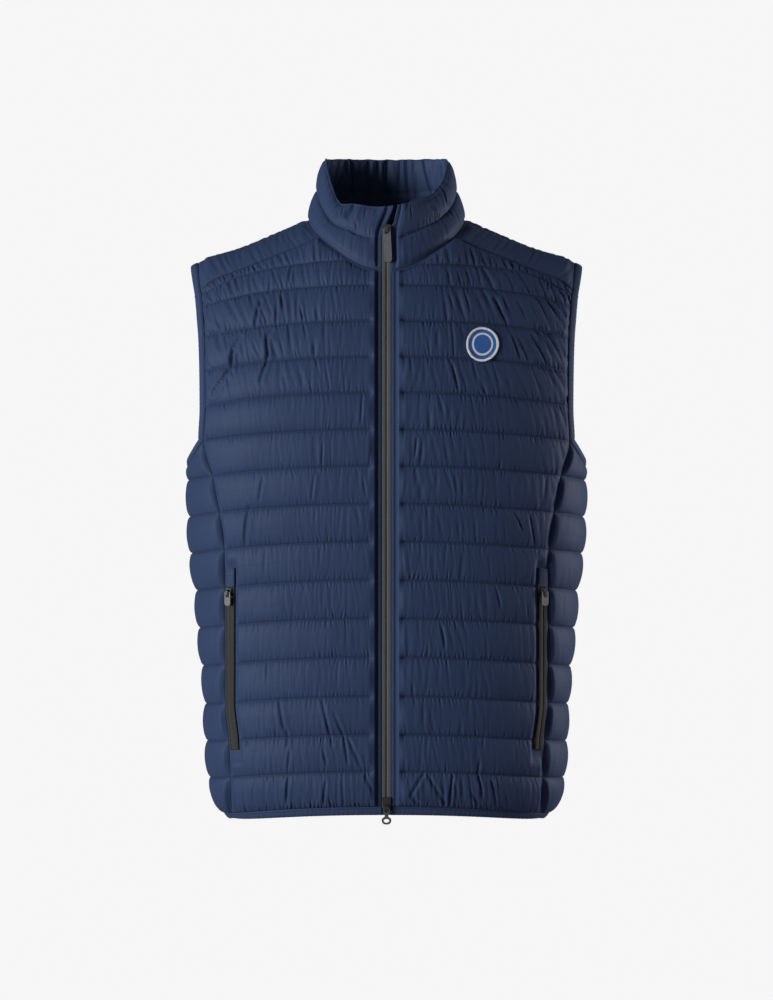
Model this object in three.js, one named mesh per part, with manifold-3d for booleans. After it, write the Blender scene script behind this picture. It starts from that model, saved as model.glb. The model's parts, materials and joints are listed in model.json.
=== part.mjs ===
import * as THREE from 'three';
import Kernel from 'manifold-3d';
import { mergeVertices } from 'three/addons/utils/BufferGeometryUtils.js';

// Quilted vest, filled out as when worn. Millimetres, +Z up, the front faces -Y, the wearer's right is at -X.
// The origin lies at the height of the shoulder where it meets the neck, half way between front and back.

// Driving sizes
const WALL = 3;             // cloth and filling where a stitch line presses them together
const PUFF = 5;             // how far a channel's crown stands above its stitch lines
const SEAM = 0.15;          // half of the gap between two pieces at a seam
const ROUND = 2.3;          // power of the rounded oval that the body is in plan
const SIDE_DROP = 14.5;     // how far a stitch line hangs lower at the side than at the centre front
const BACK_DROP = 20.5;     // how far it hangs lower still at the centre back
const ZIP_HALF = 5;         // half width of the centre zip between the two front edges
const NECK = { across: 86, deep: 70, y: -10, frontTurn: 60, backTurn: 118 };
const BINDING = 10.7;       // width of the bindings
const PATCH = { x: 104, z: -147, radius: 18.7 };
const CELLS = 4;            // steps up each quilted channel

// Body in plan at each height: half width, and depth of the front and of the back from the middle plane.
const BODY = [
  { z: -690, half: 165, front: 82, back: 84 },
  { z: -681, half: 168, front: 86, back: 88 },
  { z: -666, half: 180, front: 91, back: 94 },
  { z: -650, half: 190, front: 96, back: 98 },
  { z: -624, half: 197, front: 101, back: 101 },
  { z: -582, half: 200, front: 104, back: 101 },
  { z: -541, half: 201.5, front: 106, back: 100 },
  { z: -499, half: 204.6, front: 107, back: 97 },
  { z: -458, half: 208.6, front: 108, back: 94 },
  { z: -416, half: 211.5, front: 110, back: 92 },
  { z: -376, half: 217.6, front: 112, back: 94 },
  { z: -336, half: 220, front: 115, back: 97 },
  { z: -300, half: 221, front: 117, back: 100 },
  { z: -270, half: 223, front: 117.5, back: 104 },
  { z: -230, half: 228, front: 118, back: 110 },
  { z: -190, half: 228, front: 118, back: 112 },
];
const SHOULDER = [
  { x: 0, z: 28 }, { x: 50, z: 20 }, { x: 97, z: -6 }, { x: 129, z: -19.7 }, { x: 163, z: -33.2 },
  { x: 208, z: -47 }, { x: 222, z: -54 },
];
// Stitch lines from the hem edge up: height at the centre front and half width of the panel's outer edge.
const LINES = [
  { line: 0, z: -655, edge: 172 }, { line: 1, z: -616.3, edge: 172.5 }, { line: 2, z: -575.4, edge: 174 },
  { line: 3, z: -533.3, edge: 178 }, { line: 4, z: -490.2, edge: 178 }, { line: 5, z: -447.2, edge: 178 },
  { line: 6, z: -404.9, edge: 178 }, { line: 7, z: -362.6, edge: 178.5 }, { line: 8, z: -321.2, edge: 184 },
  { line: 9, z: -279.7, edge: 192 }, { line: 10, z: -239.6, edge: 202 }, { line: 11, z: -199.4, edge: 200 },
  { line: 12, z: -160, edge: 200.5 }, { line: 13, z: -120, edge: 202 }, { line: 14, z: -80, edge: 205 },
  { line: 15, z: -60, edge: 206.5 }, { line: 16, z: -40, edge: 208 },
];
const UNDERARM = 10, CHEST = 14;
// How far the top four lines hang lower still at the armhole.
const ARM_DROP = [{ line: 10, drop: 0 }, { line: 11, drop: 3 }, { line: 12, drop: 2.5 }, { line: 13, drop: 4 },
  { line: 14, drop: 8 }];
// Extra stitch line below the shoulder seam, on the wearer's right and left.
const TOP_LINE = {
  right: [{ x: 0, z: -50 }, { x: 61, z: -52 }, { x: 120, z: -58 }, { x: 163, z: -67 }, { x: 206, z: -86 }],
  left: [{ x: 0, z: -57 }, { x: 60, z: -56.4 }, { x: 146, z: -61.8 }, { x: 206, z: -86 }],
};
// Shoulder seams in plan, from the neck to the armhole.
const FRONT_SEAM = [{ x: 74.5, y: -45 }, { x: 151, y: -38 }, { x: 208, y: -28.5 }];
const BACK_SEAM = [{ x: 75.9, y: 22.9 }, { x: 150, y: 32 }, { x: 208, y: 38 }];
// Collar around half of the neck from the centre front: rise, inward lean.
const COLLAR = [
  { turn: 0, rise: 73, lean: 15 }, { turn: 30, rise: 60, lean: 17 }, { turn: 44, rise: 48, lean: 18.5 },
  { turn: 52, rise: 44, lean: 19 }, { turn: 68, rise: 53, lean: 20 }, { turn: 90, rise: 69, lean: 19 },
  { turn: 135, rise: 68, lean: 16 }, { turn: 180, rise: 68, lean: 11 },
];
// Folds pressed into the fronts: start, end, depth.
const FOLDS = {
  right: [
    { x: 158, z: -138, toX: 168, toZ: -154, deep: 2.4 }, { x: 170, z: -170, toX: 191, toZ: -201, deep: 2.6 },
    { x: 128, z: -156, toX: 137, toZ: -187, deep: 2.4 }, { x: 137, z: -98, toX: 144, toZ: -126, deep: 2.2 },
    { x: 116, z: -91, toX: 114, toZ: -109, deep: 1.8 }, { x: 94, z: -105, toX: 91, toZ: -119, deep: 1.6 },
    { x: 28, z: -208, toX: 26, toZ: -234, deep: 1.8 }, { x: 70, z: -248, toX: 70, toZ: -283, deep: 2.0 },
    { x: 134, z: -295, toX: 137, toZ: -315, deep: 1.6 }, { x: 80, z: -295, toX: 81, toZ: -315, deep: 1.6 },
    { x: 150, z: -325, toX: 154, toZ: -367, deep: 2.4 }, { x: 130, z: -497, toX: 130, toZ: -516, deep: 1.6 },
    { x: 117, z: -537, toX: 107, toZ: -585, deep: 2.6 }, { x: 105, z: -594, toX: 107, toZ: -613, deep: 2.0 },
    { x: 108, z: -628, toX: 108, toZ: -652, deep: 3.6 }, { x: 66, z: -631, toX: 68, toZ: -652, deep: 3.2 },
    { x: 70, z: -537, toX: 59, toZ: -587, deep: 2.2 }, { x: 57, z: -551, toX: 42, toZ: -606, deep: 2.4 },
    { x: 42, z: -579, toX: 28, toZ: -609, deep: 2.2 },
  ],
  left: [
    { x: 41, z: -618, toX: 26, toZ: -641, deep: 2.4 }, { x: 46, z: -621, toX: 64, toZ: -651, deep: 2.6 },
    { x: 72, z: -621, toX: 69, toZ: -652, deep: 2.8 }, { x: 101, z: -606, toX: 104, toZ: -643, deep: 2.6 },
    { x: 115, z: -629, toX: 119, toZ: -652, deep: 2.4 }, { x: 105, z: -59, toX: 123, toZ: -91, deep: 2.2 },
    { x: 85, z: -91, toX: 91, toZ: -112, deep: 1.8 }, { x: 116, z: -95, toX: 134, toZ: -126, deep: 2.2 },
    { x: 137, z: -139, toX: 146, toZ: -161, deep: 2.0 }, { x: 158, z: -136, toX: 175, toZ: -166, deep: 2.2 },
    { x: 72, z: -170, toX: 78, toZ: -195, deep: 1.8 }, { x: 139, z: -330, toX: 148, toZ: -350, deep: 1.8 },
    { x: 156, z: -334, toX: 162, toZ: -369, deep: 2.0 }, { x: 60, z: -455, toX: 64, toZ: -478, deep: 1.8 },
  ],
  back: [
    { x: -150, z: -310, toX: -141, toZ: -345, deep: 2.6 }, { x: 146, z: -318, toX: 152, toZ: -350, deep: 2.4 },
    { x: -96, z: -400, toX: -92, toZ: -428, deep: 2.0 }, { x: 84, z: -440, toX: 80, toZ: -470, deep: 2.0 },
    { x: -30, z: -360, toX: -33, toZ: -390, deep: 1.8 }, { x: 22, z: -520, toX: 25, toZ: -548, deep: 1.8 },
    { x: -120, z: -560, toX: -112, toZ: -600, deep: 2.4 }, { x: 118, z: -610, toX: 110, toZ: -650, deep: 2.8 },
    { x: -60, z: -630, toX: -58, toZ: -664, deep: 3.2 }, { x: 40, z: -636, toX: 44, toZ: -668, deep: 2.8 },
    { x: -132, z: -120, toX: -120, toZ: -150, deep: 2.4 }, { x: 130, z: -112, toX: 118, toZ: -146, deep: 2.4 },
    { x: 160, z: -190, toX: 150, toZ: -222, deep: 2.2 }, { x: -162, z: -230, toX: -154, toZ: -262, deep: 2.2 },
  ],
};

// Smooth curve through one column of a table, read at another column. It never overshoots its rows.
function curve(rows, key, column) {
  const at = rows.map((row) => row[key]), value = rows.map((row) => row[column]);
  const slope = at.slice(1).map((a, i) => (value[i + 1] - value[i]) / (a - at[i]));
  const tangent = at.map((_, i) => {
    if (i === 0) return slope[0];
    if (i === at.length - 1) return slope[i - 1];
    const product = slope[i - 1] * slope[i];
    return product <= 0 ? 0 : (2 * product) / (slope[i - 1] + slope[i]);
  });
  return (x) => {
    const last = at.length - 1;
    if (x <= at[0]) return value[0];
    if (x >= at[last]) return value[last];
    let i = 0;
    while (x > at[i + 1]) i++;
    const width = at[i + 1] - at[i], t = (x - at[i]) / width, u = 1 - t;
    return (1 + 2 * t) * u * u * value[i] + t * u * u * width * tangent[i] +
      t * t * (3 - 2 * t) * value[i + 1] - t * t * u * width * tangent[i + 1];
  };
}
const vec = (x, y, z) => new THREE.Vector3(x, y, z);
const mix = THREE.MathUtils.lerp;
const clamp = THREE.MathUtils.clamp;

const halfAt = curve(BODY, 'z', 'half');
const shoulderAt = curve(SHOULDER, 'x', 'z');
const FRONT = { sign: -1, from: -230, power: 1.7, depth: curve(BODY, 'z', 'front') };
const BACK = { sign: 1, from: -190, power: 2.4, depth: curve(BODY, 'z', 'back') };
const lineZ = (line) => {
  const i = clamp(Math.floor(line), 0, LINES.length - 2);
  return mix(LINES[i].z, LINES[i + 1].z, line - i);
};
const edgeAt = curve(LINES, 'line', 'edge');
const armDropAt = curve(ARM_DROP, 'line', 'drop');

// Depth of the body's plain inner surface on one face, at a place across and a height.
function surfaceY(face, x, z, half) {
  const flat = Math.max(0, 1 - (Math.abs(x) / half) ** ROUND) ** (1 / ROUND);
  if (z <= face.from) return face.sign * face.depth(z) * flat;
  const t = clamp((z - face.from) / (shoulderAt(Math.abs(x)) - face.from), 0, 1);
  return face.sign * face.depth(face.from) * flat * (1 - t ** face.power) ** (1 / face.power);
}

// Height of the shoulder surface above a place in plan.
function shoulderZ(x, y) {
  const face = y < 0 ? FRONT : BACK;
  const flat = Math.max(1e-6, 1 - (Math.abs(x) / halfAt(face.from)) ** ROUND) ** (1 / ROUND);
  const share = Math.min(1, Math.abs(y) / (face.depth(face.from) * flat));
  return face.from + (shoulderAt(Math.abs(x)) - face.from) * (1 - share ** face.power) ** (1 / face.power);
}

// Outward direction of the body's surface at a point.
function normalAt(p) {
  const field = (x, y, z) => {
    const face = y < 0 ? FRONT : BACK;
    if (z <= face.from) {
      return (Math.abs(x) / halfAt(z)) ** ROUND + (Math.abs(y) / face.depth(z)) ** ROUND - 1;
    }
    const flat = Math.max(1e-6, 1 - (Math.abs(x) / halfAt(face.from)) ** ROUND) ** (1 / ROUND);
    return (Math.abs(y) / (face.depth(face.from) * flat)) ** face.power +
      ((z - face.from) / (shoulderAt(Math.abs(x)) - face.from)) ** face.power - 1;
  };
  const step = 0.5;
  return vec(
    field(p.x + step, p.y, p.z) - field(p.x - step, p.y, p.z),
    field(p.x, p.y + step, p.z) - field(p.x, p.y - step, p.z),
    field(p.x, p.y, p.z + step) - field(p.x, p.y, p.z - step),
  ).normalize();
}

// Point of the neck line, by the turn in degrees from the centre front; negative turns lie on the right.
function neckPoint(turn) {
  const a = THREE.MathUtils.degToRad(turn);
  const x = NECK.across * Math.sin(a), y = NECK.y - NECK.deep * Math.cos(a);
  return vec(x, y, shoulderZ(x, y));
}
const neckTurn = (x) => THREE.MathUtils.radToDeg(Math.asin(x / NECK.across));
const frontSeamY = curve(FRONT_SEAM, 'x', 'y'), backSeamY = curve(BACK_SEAM, 'x', 'y');

const FRONT_NECK_X = NECK.across * Math.sin(THREE.MathUtils.degToRad(NECK.frontTurn));
const BACK_NECK_X = NECK.across * Math.sin(THREE.MathUtils.degToRad(NECK.backTurn));
const ease = (t) => Math.sin(1.2 * t) / Math.sin(1.2);

// Places across a panel, from the neck corner to the outer edge: nine even columns and a narrow last one.
const STRIP = 13;
function outerColumn(j, from, edge) {
  return j === 10 ? edge : mix(from, edge - STRIP, j / 9);
}

// Grid of a front panel: point, height above the plain inside, for each row of cells and column.
function frontGrid(side) {
  const sign = side === 'right' ? -1 : 1;
  const topLine = curve(TOP_LINE[side], 'x', 'z');
  const rows = 16 * CELLS, columns = 16;
  const drop = (x, line) =>
    SIDE_DROP * (x / halfAt(lineZ(line) - 7)) ** ROUND + armDropAt(line) * (x / 200) ** 4;
  const grid = [];
  for (let r = 0; r <= rows; r++) {
    const line = r / CELLS, edge = edgeAt(line);
    grid.push([]);
    for (let c = 0; c <= columns; c++) {
      const x = c <= 6 ? mix(ZIP_HALF, FRONT_NECK_X, ease(c / 6)) : outerColumn(c - 6, FRONT_NECK_X, edge);
      const top = c <= 6
        ? neckPoint(neckTurn(x)).z
        : shoulderZ(x, frontSeamY(x));
      const chest = lineZ(CHEST) - drop(x, CHEST);
      const upper = Math.max(Math.min(topLine(x), top - 4), chest + 4);
      let z, half = halfAt(lineZ(Math.min(line, CHEST)) - 7), tall;
      if (line <= CHEST) {
        z = lineZ(line) - drop(x, line);
        tall = 40;
      } else if (line <= 15) {
        z = mix(chest, upper, line - 14);
        tall = upper - chest;
      } else {
        z = mix(upper, top, line - 15);
        tall = top - upper;
      }
      const point = vec(x, surfaceY(FRONT, x, z, half), z);
      const pocket = line > 5.7 - 4 && line < 6.6;
      const edgeShare = c <= 1 || c === columns ? 0 : c === 2 ? 0.75 : c === columns - 1 ? (pocket ? 0 : 0.8) : 1;
      grid[r].push(cell(point, line, tall, edgeShare, FOLDS[side], 1));
    }
  }
  return mirror(grid, sign);
}

// One grid cell corner: the inner point, the outward direction and the wall's height there.
function cell(point, line, tall, share, folds, foldSign) {
  const across = line - Math.floor(line);
  const rise = (1 - (2 * across - 1) ** 2) ** 0.6 * PUFF * Math.min(1, tall / 34) * share;
  let dent = 0;
  for (const fold of folds) {
    const ux = fold.toX - fold.x, uz = fold.toZ - fold.z;
    const t = clamp(((point.x * foldSign - fold.x) * ux + (point.z - fold.z) * uz) / (ux * ux + uz * uz), 0, 1);
    const away = Math.hypot(point.x * foldSign - fold.x - t * ux, point.z - fold.z - t * uz);
    dent += fold.deep * Math.exp(-((away / 7) ** 2));
  }
  const height = WALL + Math.max(0, rise - Math.min(dent, rise * 0.6));
  return { point, normal: normalAt(point), height };
}
function mirror(grid, sign) {
  if (sign > 0) return grid;
  return grid.map((row) => row.map(({ point, normal, height }) => ({
    point: vec(-point.x, point.y, point.z), normal: vec(-normal.x, normal.y, normal.z), height,
  })));
}

function sideGrid(side) {
  const columns = 6, rows = UNDERARM * CELLS, grid = [];
  for (let r = 0; r <= rows; r++) {
    const line = r / CELLS;
    grid.push([]);
    for (let c = 0; c <= columns; c++) {
      const away = Math.abs(c - 3) / 3, face = c < 3 ? FRONT : BACK;
      let level = lineZ(line);
      if (line > 9) level = mix(lineZ(9), lineZ(10) - 25.9 * (1 - away ** 2.2), line - 9);
      const half = halfAt(level - 7);
      const start = Math.asin((edgeAt(line) / half) ** (ROUND / 2));
      const turn = mix(Math.PI / 2, start, away);
      const out = Math.sin(turn) ** 2;
      const x = half * Math.sin(turn) ** (2 / ROUND);
      const z = level - SIDE_DROP * out - (face === BACK ? BACK_DROP * (1 - out) : 0);
      const y = face.sign * face.depth(z) * Math.max(0, 1 - out) ** (1 / ROUND);
      const tall = line > 9 ? 40 * away + 12 : 40;
      grid[r].push(cell(vec(x, y, z), line, tall, c === 0 || c === columns ? 0 : 1, [], 1));
    }
  }
  return mirror(grid, side === 'right' ? -1 : 1);
}

function backGrid() {
  const grid = [];
  const columnAt = (c, edge) => {
    const k = Math.abs(c - 9), sign = c < 9 ? -1 : 1;
    if (k <= 4) return sign * mix(0, BACK_NECK_X, k / 4);
    return sign * outerColumn((k - 4) * 2, BACK_NECK_X, edge);
  };
  for (let r = 0; r <= 17 * CELLS; r++) {
    const line = r / CELLS;
    const edge = line <= CHEST ? edgeAt(line) : mix(edgeAt(CHEST), 208, (line - CHEST) / 3);
    grid.push([]);
    for (let c = 0; c <= 18; c++) {
      const x = columnAt(c, edge), ax = Math.abs(x);
      const out = (n) => Math.min(1, (ax / halfAt(lineZ(n) - 7)) ** ROUND);
      const lower = (level, n) => level - SIDE_DROP * out(n) - BACK_DROP * (1 - out(n));
      const top = Math.abs(c - 9) <= 4 ? neckPoint(180 - neckTurn(ax)).z : shoulderZ(ax, backSeamY(ax));
      const chest = lower(lineZ(CHEST), CHEST);
      const first = Math.max(Math.min(lower(-40, CHEST), top - 8), chest + 2);
      const second = Math.max(Math.min(lower(0, CHEST), top - 4), first + 2);
      const heights = [chest, first, second, top];
      let z, tall = 40;
      if (line <= CHEST) z = lower(lineZ(line), line);
      else {
        const band = Math.min(2, Math.floor(line - CHEST));
        z = mix(heights[band], heights[band + 1], line - CHEST - band);
        tall = heights[band + 1] - heights[band];
      }
      const half = halfAt(lineZ(Math.min(line, CHEST)) - 7);
      const share = c === 0 || c === 18 ? 0 : 1;
      grid[r].push(cell(vec(x, surfaceY(BACK, x, z, half), z), line, tall, share, FOLDS.back, 1));
    }
  }
  return grid;
}

// Shoulder yoke: rows run from the front seam over the shoulder to the back seam.
function yokeGrid(side) {
  const rows = 8, columns = 10, grid = [];
  for (let r = 0; r <= rows; r++) {
    const t = r / rows;
    grid.push([]);
    const neck = neckPoint(mix(NECK.frontTurn, NECK.backTurn, t));
    for (let c = 0; c <= columns; c++) {
      const fx = outerColumn(c, FRONT_NECK_X, 208), bx = outerColumn(c, BACK_NECK_X, 208);
      const front = vec(fx, frontSeamY(fx), 0), back = vec(bx, backSeamY(bx), 0);
      const across = (fx - FRONT_NECK_X) / (208 - FRONT_NECK_X);
      const neckOff = neck.clone().setZ(0).sub(vec(
        mix(FRONT_NECK_X, BACK_NECK_X, t), mix(FRONT_SEAM[0].y, backSeamY(BACK_NECK_X), t), 0));
      const bulge = vec(5 * 4 * t * (1 - t), 0, 0);
      const plan = front.lerp(back, t).addScaledVector(neckOff, 1 - across).addScaledVector(bulge, across);
      const point = vec(plan.x, plan.y, shoulderZ(plan.x, plan.y));
      const share = c === 0 || c === columns ? 0 : 0.65;
      grid[r].push(cell(point, (r % 4) / 4, 40, share, [], 1));
    }
  }
  for (let c = 1; c < 9; c += 2) {
    const last = grid[rows];
    last[c].point.copy(last[c - 1].point).add(last[c + 1].point).multiplyScalar(0.5);
    last[c].normal.copy(last[c - 1].normal).add(last[c + 1].normal).normalize();
  }
  const outer = grid[rows];
  outer[9].point.copy(outer[8].point).lerp(outer[10].point, 0.5);
  return mirror(grid, side === 'right' ? -1 : 1);
}

// Moves the rim of a grid inwards by the seam allowance and returns wall points inside and outside.
function wallOf(grid, innerRows, fineEdges = []) {
  const rows = grid.length - 1, columns = grid[0].length - 1;
  const at = (r, c) => grid[clamp(r, 0, rows)][clamp(c, 0, columns)].point;
  const shift = grid.map((row) => row.map(() => vec(0, 0, 0)));
  const inset = (r, c, dr, dc) => {
    const along = at(r + dc, c + dr).clone().sub(at(r - dc, c - dr)).normalize();
    const inward = at(r + dr, c + dc).clone().sub(at(r, c));
    inward.addScaledVector(along, -inward.dot(along)).normalize();
    shift[r][c].addScaledVector(inward, SEAM);
  };
  for (let r = 0; r <= rows; r++) {
    inset(r, 0, 0, 1);
    inset(r, columns, 0, -1);
  }
  for (let c = 0; c <= columns; c++) {
    inset(0, c, 1, 0);
    inset(rows, c, -1, 0);
  }
  const outer = grid.map((row, r) => row.map((g, c) => g.point.clone().add(shift[r][c])
    .add(g.mitre ?? g.normal.clone().multiplyScalar(g.height))));
  const inside = grid.map((row, r) => row.map((g, c) => g.point.clone().add(shift[r][c])));
  return { outer, inner: innerRows.map((r) => inside[r]), innerRows, inside, fineEdges };
}

// Closed body from a fine outer grid and a coarser inner grid that shares its columns.
// An armhole edge keeps every row on the inside too, from the underarm up.
function wallGeometry({ outer, inner, innerRows, inside, fineEdges = [] }) {
  const points = [], triangles = [];
  const index = (grid) => grid.map((row) => row.map((p) => points.push(p) - 1));
  const out = index(outer), ins = index(inner);
  const rows = out.length - 1, columns = out[0].length - 1, last = ins.length - 1;
  const quad = (a, b, c, d) => triangles.push([a, b, c], [a, c, d]);
  const isFine = (c, k) => fineEdges.includes(c) && innerRows[k] >= UNDERARM * CELLS;
  for (let r = 0; r < rows; r++) {
    for (let c = 0; c < columns; c++) quad(out[r][c], out[r][c + 1], out[r + 1][c + 1], out[r + 1][c]);
  }
  for (let c = 0; c < columns; c++) {
    quad(ins[0][c], ins[0][c + 1], out[0][c + 1], out[0][c]);
    quad(out[rows][c], out[rows][c + 1], ins[last][c + 1], ins[last][c]);
  }
  for (let k = 0; k < last; k++) {
    const low = innerRows[k], high = k === last - 1 ? rows : innerRows[k + 1];
    const edges = [0, columns].map((c) => {
      const edge = [ins[k][c]];
      if (isFine(c, k)) {
        for (let r = low + 1; r < innerRows[k + 1]; r++) edge.push(points.push(inside[r][c]) - 1);
      }
      return [...edge, ins[k + 1][c]];
    });
    for (let c = 0; c < columns; c++) {
      const left = c === 0 ? edges[0] : [ins[k][c], ins[k + 1][c]];
      const right = c === columns - 1 ? edges[1] : [ins[k][c + 1], ins[k + 1][c + 1]];
      const foot = left[0], top = right[right.length - 1];
      for (let i = 0; i < right.length - 1; i++) triangles.push([foot, right[i + 1], right[i]]);
      for (let i = 0; i < left.length - 1; i++) triangles.push([top, left[i], left[i + 1]]);
    }
    for (const [c, edge, flip] of [[0, edges[0], false], [columns, edges[1], true]]) {
      const fan = [];
      if (edge.length > 2) {
        edge.slice(0, -1).forEach((e, i) => {
          fan.push([e, out[low + i][c], out[low + i + 1][c]], [e, out[low + i + 1][c], edge[i + 1]]);
        });
      } else {
        for (let r = low; r < high; r++) fan.push([edge[0], out[r][c], out[r + 1][c]]);
        fan.push([edge[0], out[high][c], edge[1]]);
      }
      for (const [i, j, l] of fan) triangles.push(flip ? [i, l, j] : [i, j, l]);
    }
  }
  return geometryOf(points, triangles);
}

function geometryOf(points, triangles) {
  let volume = 0;
  for (const [a, b, c] of triangles) volume += points[a].dot(points[b].clone().cross(points[c]));
  const order = volume < 0 ? ([a, b, c]) => [a, c, b] : (t) => t;
  const geometry = new THREE.BufferGeometry();
  geometry.setAttribute('position',
    new THREE.Float32BufferAttribute(points.flatMap((p) => [p.x, p.y, p.z]), 3));
  geometry.setIndex(triangles.flatMap(order));
  return geometry.toNonIndexed();
}

// A profile of (away from the edge, outwards) points carried along a path of frames.
function bandGeometry(path, profile, closed) {
  const points = [], triangles = [], n = profile.length, count = path.length;
  const seam = Math.min(...profile.map(([s]) => s));
  for (const { point, away, normal, seamAway, seamNormal } of path) {
    for (const [s, h] of profile) {
      const [side, out] = s === seam ? [seamAway ?? away, seamNormal ?? normal] : [away, normal];
      points.push(point.clone().addScaledVector(side, s).addScaledVector(out, h));
    }
  }
  for (let i = 0; i < (closed ? count : count - 1); i++) {
    for (let k = 0; k < n; k++) {
      const a = i * n + k, b = i * n + ((k + 1) % n), c = ((i + 1) % count) * n + ((k + 1) % n);
      const d = ((i + 1) % count) * n + k;
      triangles.push([a, b, c], [a, c, d]);
    }
  }
  if (!closed) {
    for (let k = 1; k < n - 1; k++) {
      triangles.push([0, k + 1, k]);
      triangles.push([(count - 1) * n, (count - 1) * n + k, (count - 1) * n + k + 1]);
    }
  }
  return geometryOf(points, triangles);
}

// Frames along one edge of a grid, pointing away from the piece.
function edgeFrames(grid, edge, from = 0, to = Infinity, step = 1) {
  const rows = grid.length - 1, columns = grid[0].length - 1, frames = [];
  const sideEdge = edge === 'first' || edge === 'last';
  const end = Math.min(to, sideEdge ? rows : columns);
  for (let k = from; k <= end; k += step) {
    const [r, c] = edge === 'first' ? [k, 0] : edge === 'last' ? [k, columns] : edge === 'low' ? [0, k] : [rows, k];
    const [ir, ic] = edge === 'first' ? [k, 1] : edge === 'last' ? [k, columns - 1]
      : edge === 'low' ? [1, k] : [rows - 1, k];
    const limit = sideEdge ? rows : columns;
    const near = Math.max(0, k - 1), far = Math.min(limit, k + 1);
    const point = (n) => (sideEdge ? grid[n][c].point : grid[r][n].point);
    const along = point(far).clone().sub(point(near)).normalize();
    const away = grid[r][c].point.clone().sub(grid[ir][ic].point);
    away.addScaledVector(along, -away.dot(along)).normalize();
    frames.push({ point: grid[r][c].point, away, normal: grid[r][c].normal });
  }
  return frames;
}

// Joins edges end to end; where two meet, the frame points away from both pieces.
function chain(...edges) {
  const frames = [...edges[0]];
  for (const edge of edges.slice(1)) {
    const corner = frames.pop();
    frames.push({ ...corner, corner: true, away: corner.away.clone().add(edge[0].away) }, ...edge.slice(1));
  }
  return frames;
}

// Drops frames that lie too close together and smooths the directions of the others.
function joinFrames(frames, least, closed) {
  const kept = [frames[0]];
  for (const frame of frames.slice(1)) {
    const before = kept[kept.length - 1];
    if (frame.point.distanceTo(before.point) > least) kept.push(frame);
    else if (frame.corner && !before.corner) kept[kept.length - 1] = frame;
  }
  if (closed && kept[kept.length - 1].point.distanceTo(kept[0].point) < least) kept.pop();
  const n = kept.length;
  return kept.map((frame, i) => {
    const before = kept[closed ? (i + n - 1) % n : Math.max(0, i - 1)];
    const after = kept[closed ? (i + 1) % n : Math.min(n - 1, i + 1)];
    const away = frame.away.clone().multiplyScalar(2).add(before.away).add(after.away);
    const normal = frame.normal.clone().multiplyScalar(2).add(before.normal).add(after.normal).normalize();
    away.addScaledVector(normal, -away.dot(normal)).normalize();
    return { point: frame.point, away, normal, seamAway: frame.away, seamNormal: frame.normal };
  });
}

const BINDING_PROFILE = [[SEAM, 0.1], [4, -1.2], [BINDING - 2, -1], [BINDING, 1.4], [BINDING - 2.2, 4], [SEAM, 3]];
const TAPE_PROFILE = [[0.35, 0.5], [ZIP_HALF - SEAM, 0.5], [ZIP_HALF - SEAM, 2.7], [0.35, 2.7]];

// Panels
const grids = {
  front_right: frontGrid('right'), front_left: frontGrid('left'),
  side_right: sideGrid('right'), side_left: sideGrid('left'), back: backGrid(),
  yoke_right: yokeGrid('right'), yoke_left: yokeGrid('left'),
};

// Collar: columns run round the neck from the right front edge over the back to the left front edge.
function collarGrid() {
  const turns = [];
  for (let c = 0; c <= 6; c++) turns.push(neckTurn(mix(ZIP_HALF, FRONT_NECK_X, ease(c / 6))));
  for (let r = 1; r <= 8; r++) turns.push(mix(NECK.frontTurn, NECK.backTurn, r / 8));
  for (let k = 3; k >= 0; k--) turns.push(180 - neckTurn(mix(0, BACK_NECK_X, k / 4)));
  const signed = [...turns.map((t) => -t), ...turns.slice(0, -1).reverse()];
  const riseAt = curve(COLLAR, 'turn', 'rise'), leanAt = curve(COLLAR, 'turn', 'lean');
  const rows = 8;
  const base = signed.map((t) => neckPoint(t));
  const grid = [];
  for (let r = 0; r <= rows; r++) {
    const h = r / rows;
    grid.push(signed.map((t, c) => {
      const centre = vec(0, NECK.y, 0);
      const turn = Math.abs(t);
      const inward = centre.clone().sub(base[c]).setZ(0).normalize();
      inward.x *= Math.min(1, (turn - 3) / 20);
      const open = t > 0 ? Math.max(0, 1 - t / 42) ** 1.5 : 0;
      const flare = open * 11 * Math.max(0, (h - 0.8) / 0.2);
      return base[c].clone().addScaledVector(inward, leanAt(turn) * h ** 0.9)
        .add(vec(flare, -(flare ** 2) / 44, riseAt(turn) * h));
    }));
  }
  return grid.map((row, r) => row.map((point, c) => {
    const before = row[Math.max(0, c - 1)], after = row[Math.min(row.length - 1, c + 1)];
    const below = grid[Math.max(0, r - 1)][c], above = grid[Math.min(rows, r + 1)][c];
    const normal = above.clone().sub(below).cross(after.clone().sub(before)).normalize().negate();
    if (normal.dot(point.clone().sub(vec(0, NECK.y, point.z))) < 0) normal.negate();
    const w = (r % 4) / 4;
    const rim = c <= 1 || c >= row.length - 2 ? 0 : c === 2 || c === row.length - 3 ? 0.7 : 1;
    const rise = (1 - (2 * w - 1) ** 2) ** 0.6 * 3.4 * rim;
    return { point, normal, height: WALL + (r === rows ? 0 : rise) };
  }));
}
grids.collar = collarGrid();

// The collar and the panels meet at the neck in a mitre.
function mitreNeck() {
  const collar = grids.collar[0], last = collar.length - 1;
  const pair = (panelCell, c) => {
    const a = panelCell.normal, b = collar[c].normal;
    const sum = a.clone().add(b).multiplyScalar(WALL / (1 + a.dot(b)));
    panelCell.mitre = sum;
    collar[c].mitre = sum;
  };
  for (let c = 0; c <= 6; c++) {
    pair(grids.front_right[64][c], c);
    pair(grids.front_left[64][c], last - c);
  }
  for (let r = 0; r <= 8; r++) {
    pair(grids.yoke_right[r][0], 6 + r);
    pair(grids.yoke_left[r][0], last - 6 - r);
  }
  for (let k = 0; k <= 8; k++) pair(grids.back[68][5 + k], 14 + k);
}
mitreNeck();

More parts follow.
